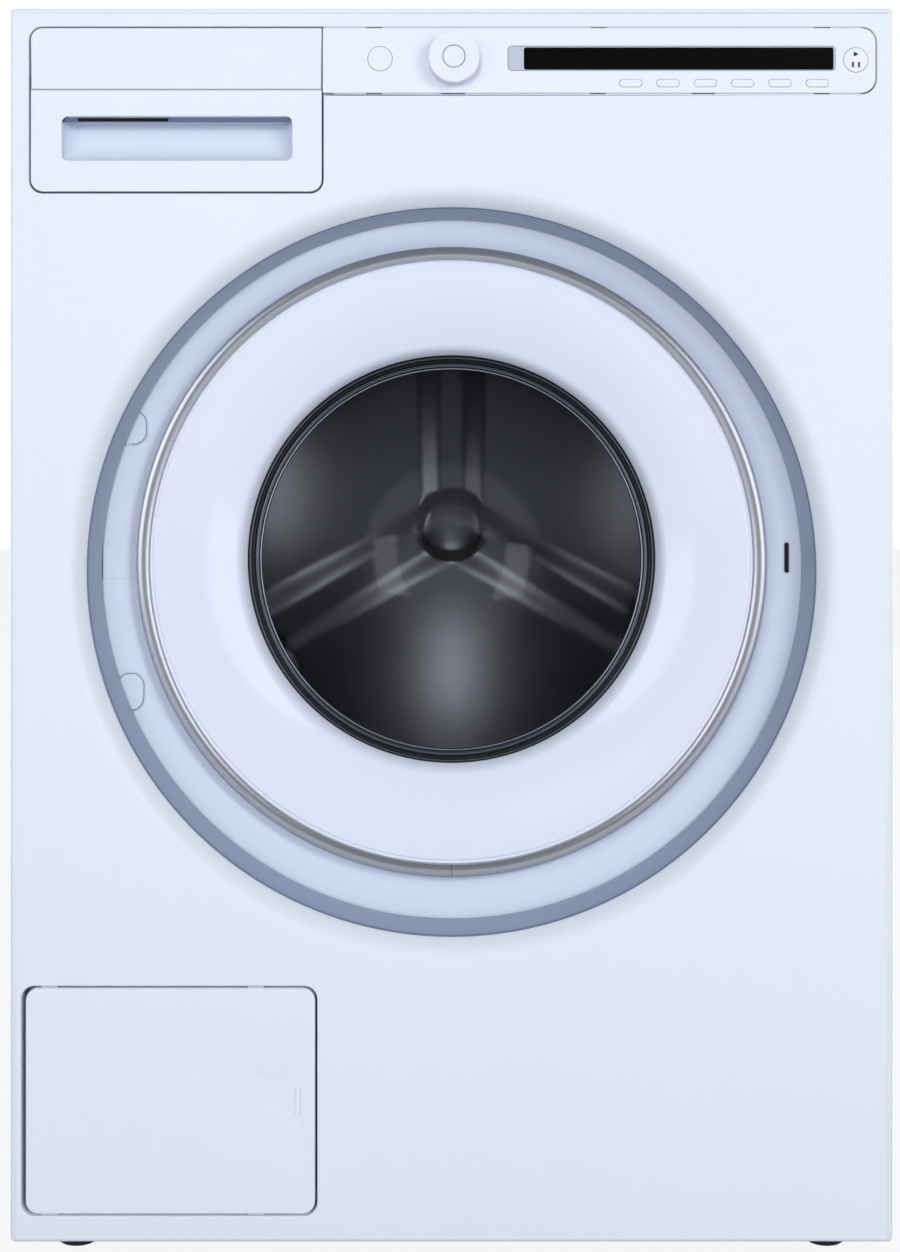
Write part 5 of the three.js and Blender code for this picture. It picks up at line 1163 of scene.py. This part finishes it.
    def seal(self) -> None:
        """Folded rubber seal: a soft lip, one bellows fold and a collar over the tub's mouth.

        The lip is half an ellipse of 1.3 by 5.7, given by the sine and the cosine of its turn.
        """
        turn = np.linspace(0, np.pi, 9)
        lip = pairs(141.8 - 1.3 * np.sin(turn), 70.0 - 5.7 * np.cos(turn))
        profile = [(160.7, 64.8), (158.0, 64.3), (150.0, 66.2), *lip, (146.0, 75.0),
                   (150.6, 74.2), (152.6, 77.0), (153.4, 90.0), (153.6, 105.8), (153.9, 105.8),
                   (153.9, 68.2), (158.2, 67.8), (158.4, 76.0), (160.7, 76.0), (160.7, 64.8)]
        self.piece(Draft().grid(turned(profile, 192)), "dressed_door_seal", "tub", "rubber",
                   "seal_rubber", ["door_seal"], sharp=50)


# ---------------------------------------------------------------- drum


@dataclass
class Drum(Assembly):
    """Punched drum: barrel, dished back with three ridges and a boss, and three lifters."""

    radius: float = 240.0
    wall: float = 1.2
    near: float = 121.0
    far: float = 462.0
    mouth: float = 158.0
    corner: float = 9.0
    boss_radius: float = 30.6
    boss_rise: float = 10.0
    ridge_rise: float = 5.5
    ridge_end: float = 214.0
    ridge_angles: tuple[float, ...] = (90.0, 210.0, 330.0)
    lifter_angles: tuple[float, ...] = (99.0, 219.0, 339.0)
    lifter_half: float = 29.0
    lifter_rise: float = 54.0
    lifter_near: float = 150.0
    lifter_far: float = 440.0
    lifter_ease: float = 30.0
    hole_pitch: float = 11.0

    def build(self) -> None:
        """Adds the shell and the lifters."""
        self.shell()
        self.lifters()

    def _mapped(self, mesh: bpy.types.Mesh) -> None:
        """Writes the UV map for the punched holes.

        On the barrel u is the share of a turn times a whole number of pitches, and v the run
        along the axis. On the flat parts they are the place across and up. A face over the line
        where the turn starts again has its low corners moved on by one turn.

        Args:
            mesh: Mesh of the drum.
        """
        corner = read(mesh.loops, "vertex_index", kind=int)
        place = read(mesh.vertices, "co", 3)[corner] / MILLIMETRE
        x, depth, rise = place[:, 0], place[:, 1] + ORIGIN_DEPTH, place[:, 2] - AXIS_HEIGHT
        barrel = np.hypot(x, rise) > self.radius - 14
        around = np.round(2 * np.pi * self.radius / self.hole_pitch) * self.hole_pitch
        u = np.where(barrel, np.arctan2(rise, x) / (2 * np.pi) * around, x)
        v = np.where(barrel, depth, rise)
        sizes = read(mesh.polygons, "loop_total", kind=int)
        owner = np.repeat(np.arange(len(sizes)), sizes)
        high, low = np.full(len(sizes), -1e9), np.full(len(sizes), 1e9)
        np.maximum.at(high, owner, u)
        np.minimum.at(low, owner, u)
        u = np.where(((high - low)[owner] > around / 2) & (u < 0), u + around, u)
        layer = mesh.uv_layers.new(name="sheet")
        layer.data.foreach_set("uv", (np.stack([u, v], axis=1) * MILLIMETRE).ravel())

    def back(self) -> Array:
        """Back plate as a polar grid: its depth less the boss and the eased ridges.

        Returns:
            Rows of points from the rim to the middle.
        """
        radius = np.concatenate([
            np.linspace(self.radius - self.wall, self.boss_radius + 8.0, 64),
            np.linspace(self.boss_radius + 5.0, self.boss_radius - 5.0, 16),
            np.linspace(self.boss_radius - 7.0, 4.0, 8), [0.0]])
        r, a = np.meshgrid(radius, np.arange(360) * 2 * np.pi / 360, indexing="ij")
        rim = smooth((r - (self.radius - self.wall - self.corner)) / self.corner)
        depth = self.far - self.wall - self.corner * rim**2
        for ridge in np.deg2rad(self.ridge_angles):
            along, across = r * np.cos(a - ridge), np.abs(r * np.sin(a - ridge))
            ends = smooth((self.ridge_end - along) / 24.0) * smooth((along - 12.0) / 14.0)
            depth -= self.ridge_rise * smooth((34.0 - across) / 27.0) * ends
        boss = smooth((self.boss_radius + 6.0 - r) / 13.0)
        depth = depth * (1 - boss) + boss * (self.far - self.wall - self.boss_rise)
        depth -= 4.0 * (1 - np.clip(r / self.boss_radius, 0, 1) ** 2)
        return np.stack([r * np.cos(a), depth, AXIS_HEIGHT + r * np.sin(a)], axis=-1)

    def shell(self) -> None:
        """Barrel with a curled mouth and a rounded near corner, and the back plate."""
        turn, quarter = np.linspace(np.pi * 1.25, 0, 10), np.linspace(0, np.pi / 2, 6)[1:]
        middle = self.radius - self.corner
        front = [
            *pairs(self.mouth + 3.4 - 3.4 * np.sin(turn), self.near + 5.0 - 4.4 * np.cos(turn)),
            (172.0, self.near + 0.8), (205.0, self.near), (middle, self.near),
            *pairs(middle + self.corner * np.sin(quarter),
                   self.near + self.corner * (1 - np.cos(quarter)))]
        barrel = pairs(self.radius - 0.6,
                       np.linspace(self.near + self.corner, self.far - self.corner, 12))
        draft = Draft().grid(turned(front, 240)).grid(turned(barrel, 240), kind=1)
        item = self.piece(draft.grid(self.back()), "dressed_drum", "drum", "drum_steel",
                          "drum_steel punched_steel", ["drum_shell"], sharp=45)
        self._mapped(item.data)

    def lifters(self) -> None:
        """Three pressed lifters: a rounded crest whose height eases down at both ends.

        The height is its top times one less the share across to the power 2.6, all to the power
        0.8, times the root of an eased rise at each end.
        """
        w, s = np.meshgrid(np.linspace(-self.lifter_half, self.lifter_half, 33),
                           np.linspace(self.lifter_near, self.lifter_far, 60), indexing="ij")
        near, far = (smooth(run / self.lifter_ease) ** 0.5
                     for run in (s - self.lifter_near, self.lifter_far - s))
        end = near * far
        height = self.lifter_rise * (1 - np.abs(w / self.lifter_half) ** 2.6) ** 0.8 * end
        r = np.sqrt((self.radius - self.wall - 0.4) ** 2 - w**2) - height
        for number, turn in enumerate(np.radians(self.lifter_angles), 1):
            x = r * math.cos(turn) - w * math.sin(turn)
            z = r * math.sin(turn) + w * math.cos(turn)
            draft = Draft().grid(np.stack([x, s, AXIS_HEIGHT + z], axis=-1), around=False)
            self.piece(draft, f"dressed_lifter_{number}", "drum", "drum_steel", "drum_steel",
                       [f"drum_lifter_{number}"], (-math.cos(turn), 0, -math.sin(turn)), 60)


# ---------------------------------------------------------------- fascia


@dataclass
class Drawer(Assembly):
    """Detergent drawer front: two faces with a fine groove between, and the finger recess."""

    left: float = -283.5
    right: float = -87.5
    low: float = 726.5
    high: float = 836.5
    corner: float = 8.0
    top_corner: float = 0.6
    groove: float = 795.4
    groove_half: float = 0.25
    groove_corner: float = 0.1
    recess_left: float = -262.6
    recess_right: float = -107.6
    recess_low: float = 747.5
    recess_high: float = 776.9
    recess_deep: float = 17.0
    recess_corner: float = 4.2
    recess_edge: float = 0.85
    scoop_end: float = 14.0
    scoop_rise: float = 6.0
    scoop_side: float = 9.0
    scoop_top: float = 1.4

    def build(self) -> None:
        """Adds the front and the painted shadow of the slit."""
        self.front()
        self.slit()

    def recess(self) -> Outline:
        """Outline of the finger recess."""
        return Outline.box(self.recess_left, self.recess_right, self.recess_low, self.recess_high,
                           self.recess_corner, 10)

    def _scoop(self) -> Array:
        """Scooped inside of the recess, as rings drawn in towards its middle line.

        The depth of a point is the full depth times two quarter circles, of the way up from the
        low edge and in from the ends, times the root of the way down from the top edge.

        Returns:
            Rows of points from the front edge to the middle line.
        """
        ring = self.recess().points
        middle = (self.recess_low + self.recess_high) / 2 + self.scoop_rise
        ends = self.recess_left + self.scoop_end, self.recess_right - self.scoop_end
        line = np.array(pairs(np.clip(ring[:, 0], *ends), middle))
        share = np.concatenate([[0.0, 0.015, 0.04, 0.08], np.linspace(0.13, 1.0, 22)])
        share = share[:, None, None]
        flat = ring * (1 - share) + line * share
        x, z = flat[..., 0], flat[..., 1]
        across = np.minimum(x - self.recess_left, self.recess_right - x) / self.scoop_side
        up = (z - self.recess_low) / (self.recess_high - self.recess_low)
        down = np.clip((self.recess_high - z) / self.scoop_top, 0, 1) ** 0.5
        rise, side = (np.sqrt(1 - (1 - np.clip(way, 0, 1)) ** 2) for way in (up, across))
        depth = self.recess_edge + self.recess_deep * rise * side * down
        return np.stack([x, depth, z], axis=-1)

    def front(self) -> None:
        """Drawer front with its two faces, the groove and the scooped recess."""
        hole = self.recess()
        mouth = swept(hole, [(-1.0, 0.0), (-0.85, 0.0), (-0.5, 0.12), (-0.2, 0.38),
                             (0.0, self.recess_edge)])
        foot, head = self.groove - self.groove_half, self.groove + self.groove_half
        low_pair, top_pair = (self.corner,) * 2, (self.top_corner, self.corner)
        fine = (self.groove_corner,) * 2
        draft = Draft()
        for low, high, corners, loops in ((self.low, foot, (*low_pair, *fine), [mouth[0]]),
                                          (head, self.high, (*fine, *top_pair), [])):
            face = Outline.box(self.left, self.right, low, high, corners)
            draft.capped(swept(face, [(0.0, 1.6), (0.0, 0.35), (0.12, 0.1), (0.35, 0.0),
                                      (0.5, 0.0)]), *loops)
        draft.grid(mouth).grid(self._scoop(), kind=1)
        whole = Outline.box(self.left, self.right, self.low, self.high, (*low_pair, *top_pair))
        rim = swept(whole, [(0.3, 1.4), (0.0, 1.6), (0.0, 9.0), (1.6, 9.0), (1.6, 4.0)])
        draft.capped(rim, swept(hole, [(-0.9, 4.0)])[0])
        band = Outline.box(self.left + 0.5, self.right - 0.5, self.groove - 1.0,
                           self.groove + 1.0, 0.05, 1)
        draft.fill(swept(band, [(0.0, 0.45)])[0], kind=2)
        self.piece(draft, "dressed_drawer_front", "drawer", "white_plastic",
                   "drawer_white recess_lilac seam_white", ["drawer_front"], FRONT)

    def slit(self) -> None:
        """Painted shadow of the slit along the top of the recess: a slate sheet with a darker black
        middle run, laid in front of the scoop where the undercut lies in shade.
        """
        draft = Draft()
        top = self.recess_high
        # Two flat sheets stand in front of the scoop: slate for the shaded undercut, black for its
        # darkest middle run.
        for place, depth, kind in (((-261.4, -108.8, top - 3.4, top - 0.5), 2.2, 0),
                                   ((-252.2, -191.0, top - 3.0, top - 0.8), 1.8, 1)):
            profile = [(0.0, depth + 1.2), (0.0, depth + 0.2), (0.2, depth)]
            draft.capped(swept(Outline.box(*place, 0.6, 4), profile), kind=kind)
        self.piece(draft, "recess_slit", "drawer", "white_plastic", "slate_seam black_band",
                   toward=FRONT)


@dataclass
class Controls(Assembly):
    """Control strip with its display, knob, buttons and the seams round them."""

    left: float = -86.8
    right: float = 285.8
    low: float = 792.9
    high: float = 836.5
    corner: float = 9.7
    power: tuple[float, float] = (-48.2, 815.9)
    knob_place: tuple[float, float] = (1.6, 815.5)
    start: tuple[float, float] = (272.4, 815.0)
    button_radius: float = 8.15
    window: tuple[float, float, float, float] = (48.9, 257.3, 808.8, 823.3)
    display: tuple[float, float, float, float] = (37.7, 258.9, 807.6, 824.7)
    pill_first: float = 120.7
    pill_pitch: float = 25.16
    pill_height: float = 799.4
    pill_half: tuple[float, float] = (7.5, 2.5)
    pill_count: int = 6
    button_gap: float = 0.3
    pill_gap: float = 0.25
    window_gap: float = 0.3
    seam_end: float = 276.0

    def build(self) -> None:
        """Adds the strip and what is set into it."""
        self.strip()
        self.seams()
        self.screen()
        self.buttons()
        self.knob()

    def _pill(self, number: int, grow: float = 0.0) -> Outline:
        """Stadium outline of one option button.

        Args:
            number: Its number from the left, from 0.
            grow: Gap that it is grown by.

        Returns:
            The outline.
        """
        x, z = self.pill_first + self.pill_pitch * number, self.pill_height
        wide, tall = (half + grow for half in self.pill_half)
        return Outline.box(x - wide, x + wide, z - tall, z + tall, tall - 0.02, 10)

    def strip(self) -> None:
        """Strip face with sleeved holes for the buttons and a shallow window pocket."""
        outline = Outline.box(self.left, self.right, self.low, self.high,
                              (0.6, self.corner, self.corner, 0.6), 10)
        rows = swept(outline, [(1.6, 10.0), (0.0, 10.0), *edge(0.45)])
        draft = Draft().grid(rows)
        holes = [Outline.circle(*place, self.button_radius + self.button_gap, 48)
                 for place in (self.power, self.start)]
        holes += [self._pill(number, self.pill_gap) for number in range(self.pill_count)]
        loops = []
        for hole in holes:
            sleeve = swept(hole, [(-0.3, 0.0), (-0.2, 0.02), (-0.06, 0.1), (0.0, 0.26), (0.0, 3.0)])
            draft.grid(sleeve)
            loops.append(sleeve[0])
        (left, right, low, high), gap = self.window, self.window_gap
        pocket = Outline.box(left - gap, right + gap, low - gap, high + gap, 1.6, 6)
        inside = swept(pocket, [(-0.2, 0.0), (-0.05, 0.06), (0.0, 0.25), (0.0, 2.6)])
        draft.capped(inside).fill(rows[-1], *loops, inside[0]).fill(rows[0])
        carrier = Outline.box(self.left + 3, self.right - 3, self.low + 1.2, self.high - 3, 4.0, 6)
        draft.capped(swept(carrier, [(2.0, 3.4), (0.0, 3.4), (0.0, 16.0), (2.0, 16.0)]))
        self.piece(draft, "dressed_control_strip", "cabinet", "strip_plastic", "strip_white",
                   ["control_strip"], FRONT)

    def seams(self) -> None:
        """Pale filler in the fine gap round the strip, left open at the clips."""
        draft = Draft()
        for low, high, marks in (
            (self.high - 0.3, self.high + 1.0,
             (-86.0, -57.6, -46.8, 94.0, 104.1, 244.3, 255.1, self.seam_end)),
            (self.low - 0.9, self.low + 0.3,
             (-85.95, -85.9, -79.2, -57.6, -46.8, -7.1, 9.1, 93.3, 104.1, 162.0, 177.5, 244.3,
              255.1, self.seam_end)),
        ):
            for begin, end in zip(marks[::2], marks[1::2]):
                bar = Outline.box(begin, end, low, high, 0.05, 1)
                draft.capped(swept(bar, [(0.0, 3.0), (0.0, 0.9), (0.08, 0.8)]))
        self.piece(draft, "strip_seams", "cabinet", "strip_plastic", "seam_white", toward=FRONT)

    def screen(self) -> None:
        """Black window with rounded edges, and the thin frame with its pale end block."""
        rows = swept(Outline.box(*self.window, 1.4, 6), [(0.0, 2.3), *edge(0.3, 0.3)])
        self.piece(Draft().capped(rows).fill(rows[0]), "dressed_display_window", "cabinet",
                   "display_plastic", "display_plastic", ["display_window"])
        left, _, low, high = self.display
        frame = Outline.box(*self.display, 3.0)
        draft = Draft().grid(swept(frame, [(0.0, 0.0), (0.06, -0.05), (0.75, -0.05), (0.8, 0.0)]))
        block = Outline.box(left + 0.4, self.window[0] - 0.6, low + 0.4, high - 0.4,
                            (2.6, 0.2, 0.2, 2.6), 6)
        draft.capped(swept(block, [(0.0, 0.0), (0.1, -0.04), (0.3, -0.04)]), kind=1)
        self.piece(draft, "display_frame", "cabinet", "strip_plastic", "outline_grey seam_white",
                   toward=FRONT)

    def buttons(self) -> None:
        """Two domed round buttons, the option pills, and the start and pause mark.

        A button's edge is a quarter circle of 0.35, and its dome rises by 0.25 times one less
        the square of the share of the way out.
        """
        radius, turn = self.button_radius, np.linspace(0, np.pi / 2, 5)
        inner = np.linspace(radius - 0.5, 0.0, 8)
        dome = [(radius - 1.5, 3.0), (radius, 3.0),
                *pairs(radius - 0.35 * (1 - np.cos(turn)), 0.1 - 0.35 * np.sin(turn)),
                *pairs(inner, -0.25 - 0.25 * (1 - (inner / radius) ** 2))]
        drafts = {"power_button": Draft().grid(turned(dome, 64, *self.power)),
                  "start_button": Draft().grid(turned(dome, 64, *self.start))}
        soft = [(0.6, 3.0), (0.0, 3.0), (0.0, 0.0), (0.08, -0.22), (0.25, -0.38), (0.55, -0.45),
                (1.2, -0.5), (1.9, -0.52)]
        for number in range(self.pill_count):
            drafts[f"option_button_{number + 1}"] = Draft().capped(swept(self._pill(number), soft))
        for name, draft in drafts.items():
            self.piece(draft, f"dressed_{name}", name, "strip_plastic", "strip_white", [name],
                       FRONT)
        x, z = self.start
        draft = Draft()
        for shape in (
            Outline.cornered([(x - 1.5, z + 2.2, 0.1), (x + 1.8, z + 3.9, 0.1),
                              (x - 1.5, z + 5.6, 0.1)], 2),
            Outline.box(x - 2.7, x - 1.4, z - 5.0, z - 1.4, 0.1, 2),
            Outline.box(x + 1.4, x + 2.7, z - 5.0, z - 1.4, 0.1, 2),
        ):
            draft.capped(swept(shape, [(0.0, -0.4), (0.0, -0.53), (0.03, -0.55)]))
        self.piece(draft, "start_mark", "start_button", "strip_plastic", "mark_navy", toward=FRONT)

    def knob(self) -> None:
        """Programme knob: a soft-edged disc with a drawn-in foot and a sunk middle.

        Its front edge is a quarter circle of 1.3.
        """
        turn = np.linspace(0, np.pi / 2, 9)
        rim = pairs(16.1 + 1.3 * np.cos(turn), -10.7 - 1.3 * np.sin(turn))
        body = [(0.0, -0.3), (16.3, -0.3), (16.4, -0.8), (16.7, -1.6), (17.3, -2.2), *rim,
                (14.5, -12.0), (8.0, -12.0), (7.8, -11.9)]
        groove = [(7.8, -11.9), (7.7, -11.4), (7.15, -11.4), (7.05, -11.7)]
        middle = [(7.05, -11.7), (6.8, -11.8), (4.0, -11.9), (0.0, -11.9)]
        draft = Draft()
        for profile, kind in ((body, 0), (groove, 1), (middle, 0)):
            draft.grid(turned(profile, 96, *self.knob_place), kind=kind)
        self.piece(draft, "dressed_program_knob", "knob", "strip_plastic",
                   "knob_white outline_grey", ["program_knob"])


@dataclass
class Hatch(Assembly):
    """Service hatch: a plate with rounded corners, coin groove, four tabs and two pivots."""

    left: float = -287.0
    right: float = -92.0
    low: float = 37.4
    high: float = 189.4
    corner: float = 8.5
    groove: tuple[float, float, float, float] = (-105.3, -101.7, 103.4, 122.4)
    tabs: tuple[float, ...] = (-271.0, -132.0)
    tab_half: float = 5.5
    pivot_place: tuple[float, float] = (-274.5, 6.0)
    pivot_radius: float = 2.5
    pivot_length: float = 4.0

    def build(self) -> None:
        """Adds the plate with its turned-in rim, the groove, the tabs over the gaps, the pivots."""
        outline = Outline.box(self.left, self.right, self.low, self.high, self.corner, 10)
        sunk = swept(Outline.box(*self.groove, 1.2, 5),
                     [(-0.3, 0.0), (-0.15, 0.03), (0.0, 0.3), (0.1, 1.1), (0.4, 1.2)])
        rows = swept(outline, [(2.0, 3.0), (2.0, 9.0), (0.0, 9.0), *edge(0.9, 0.0, 5)])
        draft = Draft().capped(rows, sunk[0]).capped(sunk).fill(rows[0])
        for x in self.tabs:
            for z, side in ((self.high, 1), (self.low, -1)):
                ends = sorted((z - side * 0.4, z + side * 1.3))
                tab = Outline.box(x - self.tab_half, x + self.tab_half, *ends, 0.3, 3)
                draft.capped(swept(tab, [(0.0, 2.6), (0.0, 1.2), (0.15, 1.05)]), kind=1)
        for low in (self.low - self.pivot_length, self.high):
            high = low + self.pivot_length
            pivot = [(0.0, low), (self.pivot_radius, low), (self.pivot_radius, high), (0.0, high)]
            draft.grid(turned_up(pivot, *self.pivot_place, 20))
        self.piece(draft, "dressed_service_hatch", "hatch", "white_plastic", "enamel seam_white",
                   ["service_hatch"], FRONT)


# ---------------------------------------------------------------- hoses and kept nodes


@dataclass
class Bellows(Assembly):
    """Ribbed rubber hose on an upright axis, between two bodies."""

    node: str
    lower_body: str
    upper_body: str
    ribs: int = 7
    wall: float = 2.0
    rib: float = 4.0
    collar: float = 5.0

    def build(self) -> None:
        """Adds the hose inside its node's box, upright from its low end to its high end.

        Between the plain collars the outside stands out by the rib times one less the cosine of
        the way through the ribs, halved.
        """
        near, far = (np.array(corner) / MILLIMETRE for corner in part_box(self.node))
        x, depth = (near[:2] + far[:2]) / 2
        low, high = near[2], far[2]
        foot, head = low + self.collar, high - self.collar
        bore = (far[0] - near[0]) / 2 - self.wall - self.rib
        outer = bore + self.wall
        rise = np.linspace(foot, head, self.ribs * 10 + 1)
        way = (rise - rise[0]) / (rise[-1] - rise[0]) * self.ribs * 2 * np.pi
        profile = [(bore, low), (outer - 0.4, low), (outer, low + 0.4),
                   *pairs(outer + self.rib / 2 * (1 - np.cos(way)), rise), (outer, high - 0.4),
                   (outer - 0.4, high), (bore, high), *pairs(bore, np.linspace(high, low, 12)[1:])]
        draft = Draft().grid(turned_up(profile, x, depth + ORIGIN_DEPTH, 48))
        item = self.piece(draft, f"dressed_{self.node}", None, "rubber", "seal_rubber",
                          [self.node], sharp=50)
        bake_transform(item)


KEPT = {
    "enamel": "side_panel_left side_panel_right top_panel",
    "zinc_steel": "rear_panel rear_cover base_pan damper_tube_front_left damper_tube_front_right "
                  "damper_tube_rear_left damper_tube_rear_right hinge_bracket drum_bearing heater",
    "light_alloy": "drum_spider drum_pulley motor_pulley motor",
    "weight_iron": "front_counterweight",
    "seal_rubber": "drive_belt",
    "grey_plastic": "tub_shell tub_front drawer_housing pump_body inlet_valve drain_outlet "
                    "filter_cap door_lock",
    "dark_plastic": "mains_gland",
    "drawer_white": "drawer_tray",
}


@dataclass
class Kept(Assembly):
    """Nodes whose solids stay as they are and take only a finish."""

    nodes: dict[str, bpy.types.Object]

    def build(self) -> None:
        """Assigns each kept node its material."""
        for finish, names in KEPT.items():
            for name in names.split():
                mesh = self.nodes[name].data
                mesh.materials.clear()
                mesh.materials.append(self.palette[finish])
                LOG.info("%s keeps its solid in %s", name, finish)


# ---------------------------------------------------------------- studio


@dataclass
class Studio:
    """Pale floor, soft light and the camera."""

    camera_place: tuple[float, float, float] = (0.0, -1.5955, 0.5859)
    lens: float = 55.48
    shift: tuple[float, float] = (-0.0012, -0.1805)
    ambient: float = 0.2
    glossy_ambient: float = 0.16
    key_power: float = 49.5
    strip_power: float = 8.5
    crest_power: float = 5.0
    side_power: float = 12.0
    top_power: float = 11.0
    drum_power: float = 0.04
    floor_half: float = 6.0

    def build(self) -> None:
        """Builds world, floor, lamps and camera, and sets the plain view."""
        self.world()
        self.floor()
        self.lamps()
        self.drum_lamps()
        self.camera()
        bpy.context.scene.view_settings.view_transform = "Standard"

    def world(self) -> None:
        """World of even light, white to the camera and through glass."""
        world = bpy.data.worlds.new("studio_world")
        board = Board(world)
        rays = board.put("LightPath").outputs
        straight = board.sum("LESS_THAN", rays["Glossy Depth"], 0.5)
        through = board.sum("MULTIPLY", rays["Is Transmission Ray"], straight)
        seen = board.sum("MAXIMUM", rays["Is Camera Ray"], through)
        white = board.sum("MULTIPLY", seen, 1.0 - self.ambient)
        gloss = board.sum("MULTIPLY", rays["Is Glossy Ray"], self.glossy_ambient - self.ambient)
        strength = board.sum("ADD", self.ambient, board.sum("MAXIMUM", white, gloss))
        back = board.put("Background", {"Color": (1.0, 1.0, 1.0, 1.0), "Strength": strength})
        board.put("OutputWorld", {"Surface": back.outputs[0]})
        bpy.context.scene.world = world

    def floor(self) -> None:
        """Wide pale floor that keeps the shadow and is white where it is lit."""
        made = bpy.data.materials.new("studio_floor")
        board = Board(made)
        rays = board.put("LightPath").outputs
        noise = board.noise(board.place(), 1.2)
        colour = board.mix(noise, tone(186, 186, 189), tone(192, 192, 195))
        pale = board.put("BsdfPrincipled", {"Base Color": colour, "Roughness": 0.85,
                                            "Specular IOR Level": 0.1})
        white = board.put("Emission", {"Color": (1, 1, 1, 1), "Strength": 1.0})
        share = board.sum("MULTIPLY", rays["Is Camera Ray"], 0.9)
        both = board.put("MixShader", {0: share, 1: pale.outputs[0], 2: white.outputs[0]})
        board.put("OutputMaterial", {"Surface": both.outputs[0]})
        mesh = bpy.data.meshes.new("studio_floor")
        axis = np.linspace(-self.floor_half, self.floor_half, 9)
        place = np.stack(np.meshgrid(axis, axis, [0.0], indexing="ij"), axis=-1).reshape(-1, 3)
        index = np.arange(len(place)).reshape(len(axis), -1)
        quads = np.stack([index[:-1, :-1], index[1:, :-1], index[1:, 1:], index[:-1, 1:]], axis=-1)
        mesh.from_pydata(place.tolist(), [], quads.reshape(-1, 4).tolist())
        mesh.materials.append(made)
        item = bpy.data.objects.new("studio_floor", mesh)
        bpy.context.scene.collection.objects.link(item)

    def lamp(self, name: str, place: Sequence[float], aim: Sequence[float], size: Sequence[float],
             power: float, mirrored: bool = True) -> bpy.types.Object:
        """Adds an area lamp that faces a point.

        Args:
            name: Name of the lamp.
            place: Where it stands.
            aim: What it faces.
            size: Its width and height.
            power: Its power in watts.
            mirrored: Whether shiny surfaces and glass show it.

        Returns:
            The lamp.
        """
        light = bpy.data.lights.new(name, "AREA")
        light.shape = "RECTANGLE"
        light.size, light.size_y = size
        light.energy = power
        item = bpy.data.objects.new(name, light)
        item.visible_glossy = item.visible_transmission = mirrored
        way = np.array(aim) - np.array(place)
        item.location = place
        item.rotation_euler = (math.pi / 2 + math.atan2(way[2], math.hypot(way[0], way[1])), 0.0,
                               math.atan2(way[1], way[0]) - math.pi / 2)
        bpy.context.scene.collection.objects.link(item)
        return item

    def lamps(self) -> None:
        """Key and key_right in front, three strips nearer, and lamps for sides, rear and top."""
        body, panel = (0.0, -0.3, 0.36), (0.0, -0.3, 0.45)
        strip, side = self.strip_power, self.side_power
        self.lamp("key", (-0.6, -4.0, 1.3), body, (0.8, 1.2), self.key_power, False)
        self.lamp("key_right", (2.0, -3.4, 1.7), body, (1.2, 1.0), self.key_power * 0.75, False)
        self.lamp("strip_right", (1.5, -2.0, 0.7), panel, (1.3, 1.5), strip)
        self.lamp("strip_left", (-1.5, -2.0, 0.85), panel, (1.3, 1.4), strip)
        self.lamp("strip_top", (-0.15, -2.2, 2.3), panel, (1.1, 0.5), self.crest_power, False)
        self.lamp("left", (-2.2, 0.5, 0.9), (0.0, 0.0, 0.4), (1.2, 1.6), side)
        self.lamp("right", (2.2, 0.5, 0.9), (0.0, 0.0, 0.4), (1.2, 1.6), side)
        self.lamp("rear", (0.0, 2.6, 1.3), (0.0, 0.3, 0.4), (4.0, 2.4), side * 1.8)
        self.lamp("top", (0.0, 0.3, 2.6), (0.0, 0.1, 0.8), (1.6, 1.0), self.top_power)

    def drum_lamps(self) -> None:
        """Small unseen lamps by the glass bowl stand in for the light that falls through it."""
        for name, x, depth, height, share in (("drum_left", -0.19, -0.1, 0.49, 0.6),
                                              ("drum_right", 0.19, -0.1, 0.48, 0.35),
                                              ("drum_low", 0.0, -0.11, 0.30, 0.85)):
            item = self.lamp(name, (x, depth, height), (x * 0.2, 0.16, 0.46), (0.03, 0.1),
                             self.drum_power * share)
            item.visible_camera = item.visible_transmission = False

    def camera(self) -> None:
        """Camera at the photograph's place, level, with the frame moved down by shift."""
        lens = bpy.data.cameras.new("camera")
        lens.lens = self.lens
        lens.shift_x, lens.shift_y = self.shift
        lens.clip_start = 0.05
        item = bpy.data.objects.new("camera", lens)
        item.location = self.camera_place
        item.rotation_euler = (math.pi / 2, 0.0, 0.0)
        bpy.context.scene.collection.objects.link(item)
        bpy.context.scene.camera = item


def main() -> None:
    """Builds the dressed machine round the frame."""
    logging.basicConfig(level=logging.INFO, format="%(message)s")
    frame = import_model()
    palette = mixed()
    Kept(palette, frame["nodes"]).build()
    for assembly in (Cabinet, Door, TubFront, Drum, Drawer, Controls, Hatch):
        assembly(palette).build()
    Bellows(palette, "fill_hose", "tub", "cabinet").build()
    Bellows(palette, "sump_hose", "cabinet", "tub").build()
    Studio().build()


if __name__ == "__main__":
    main()
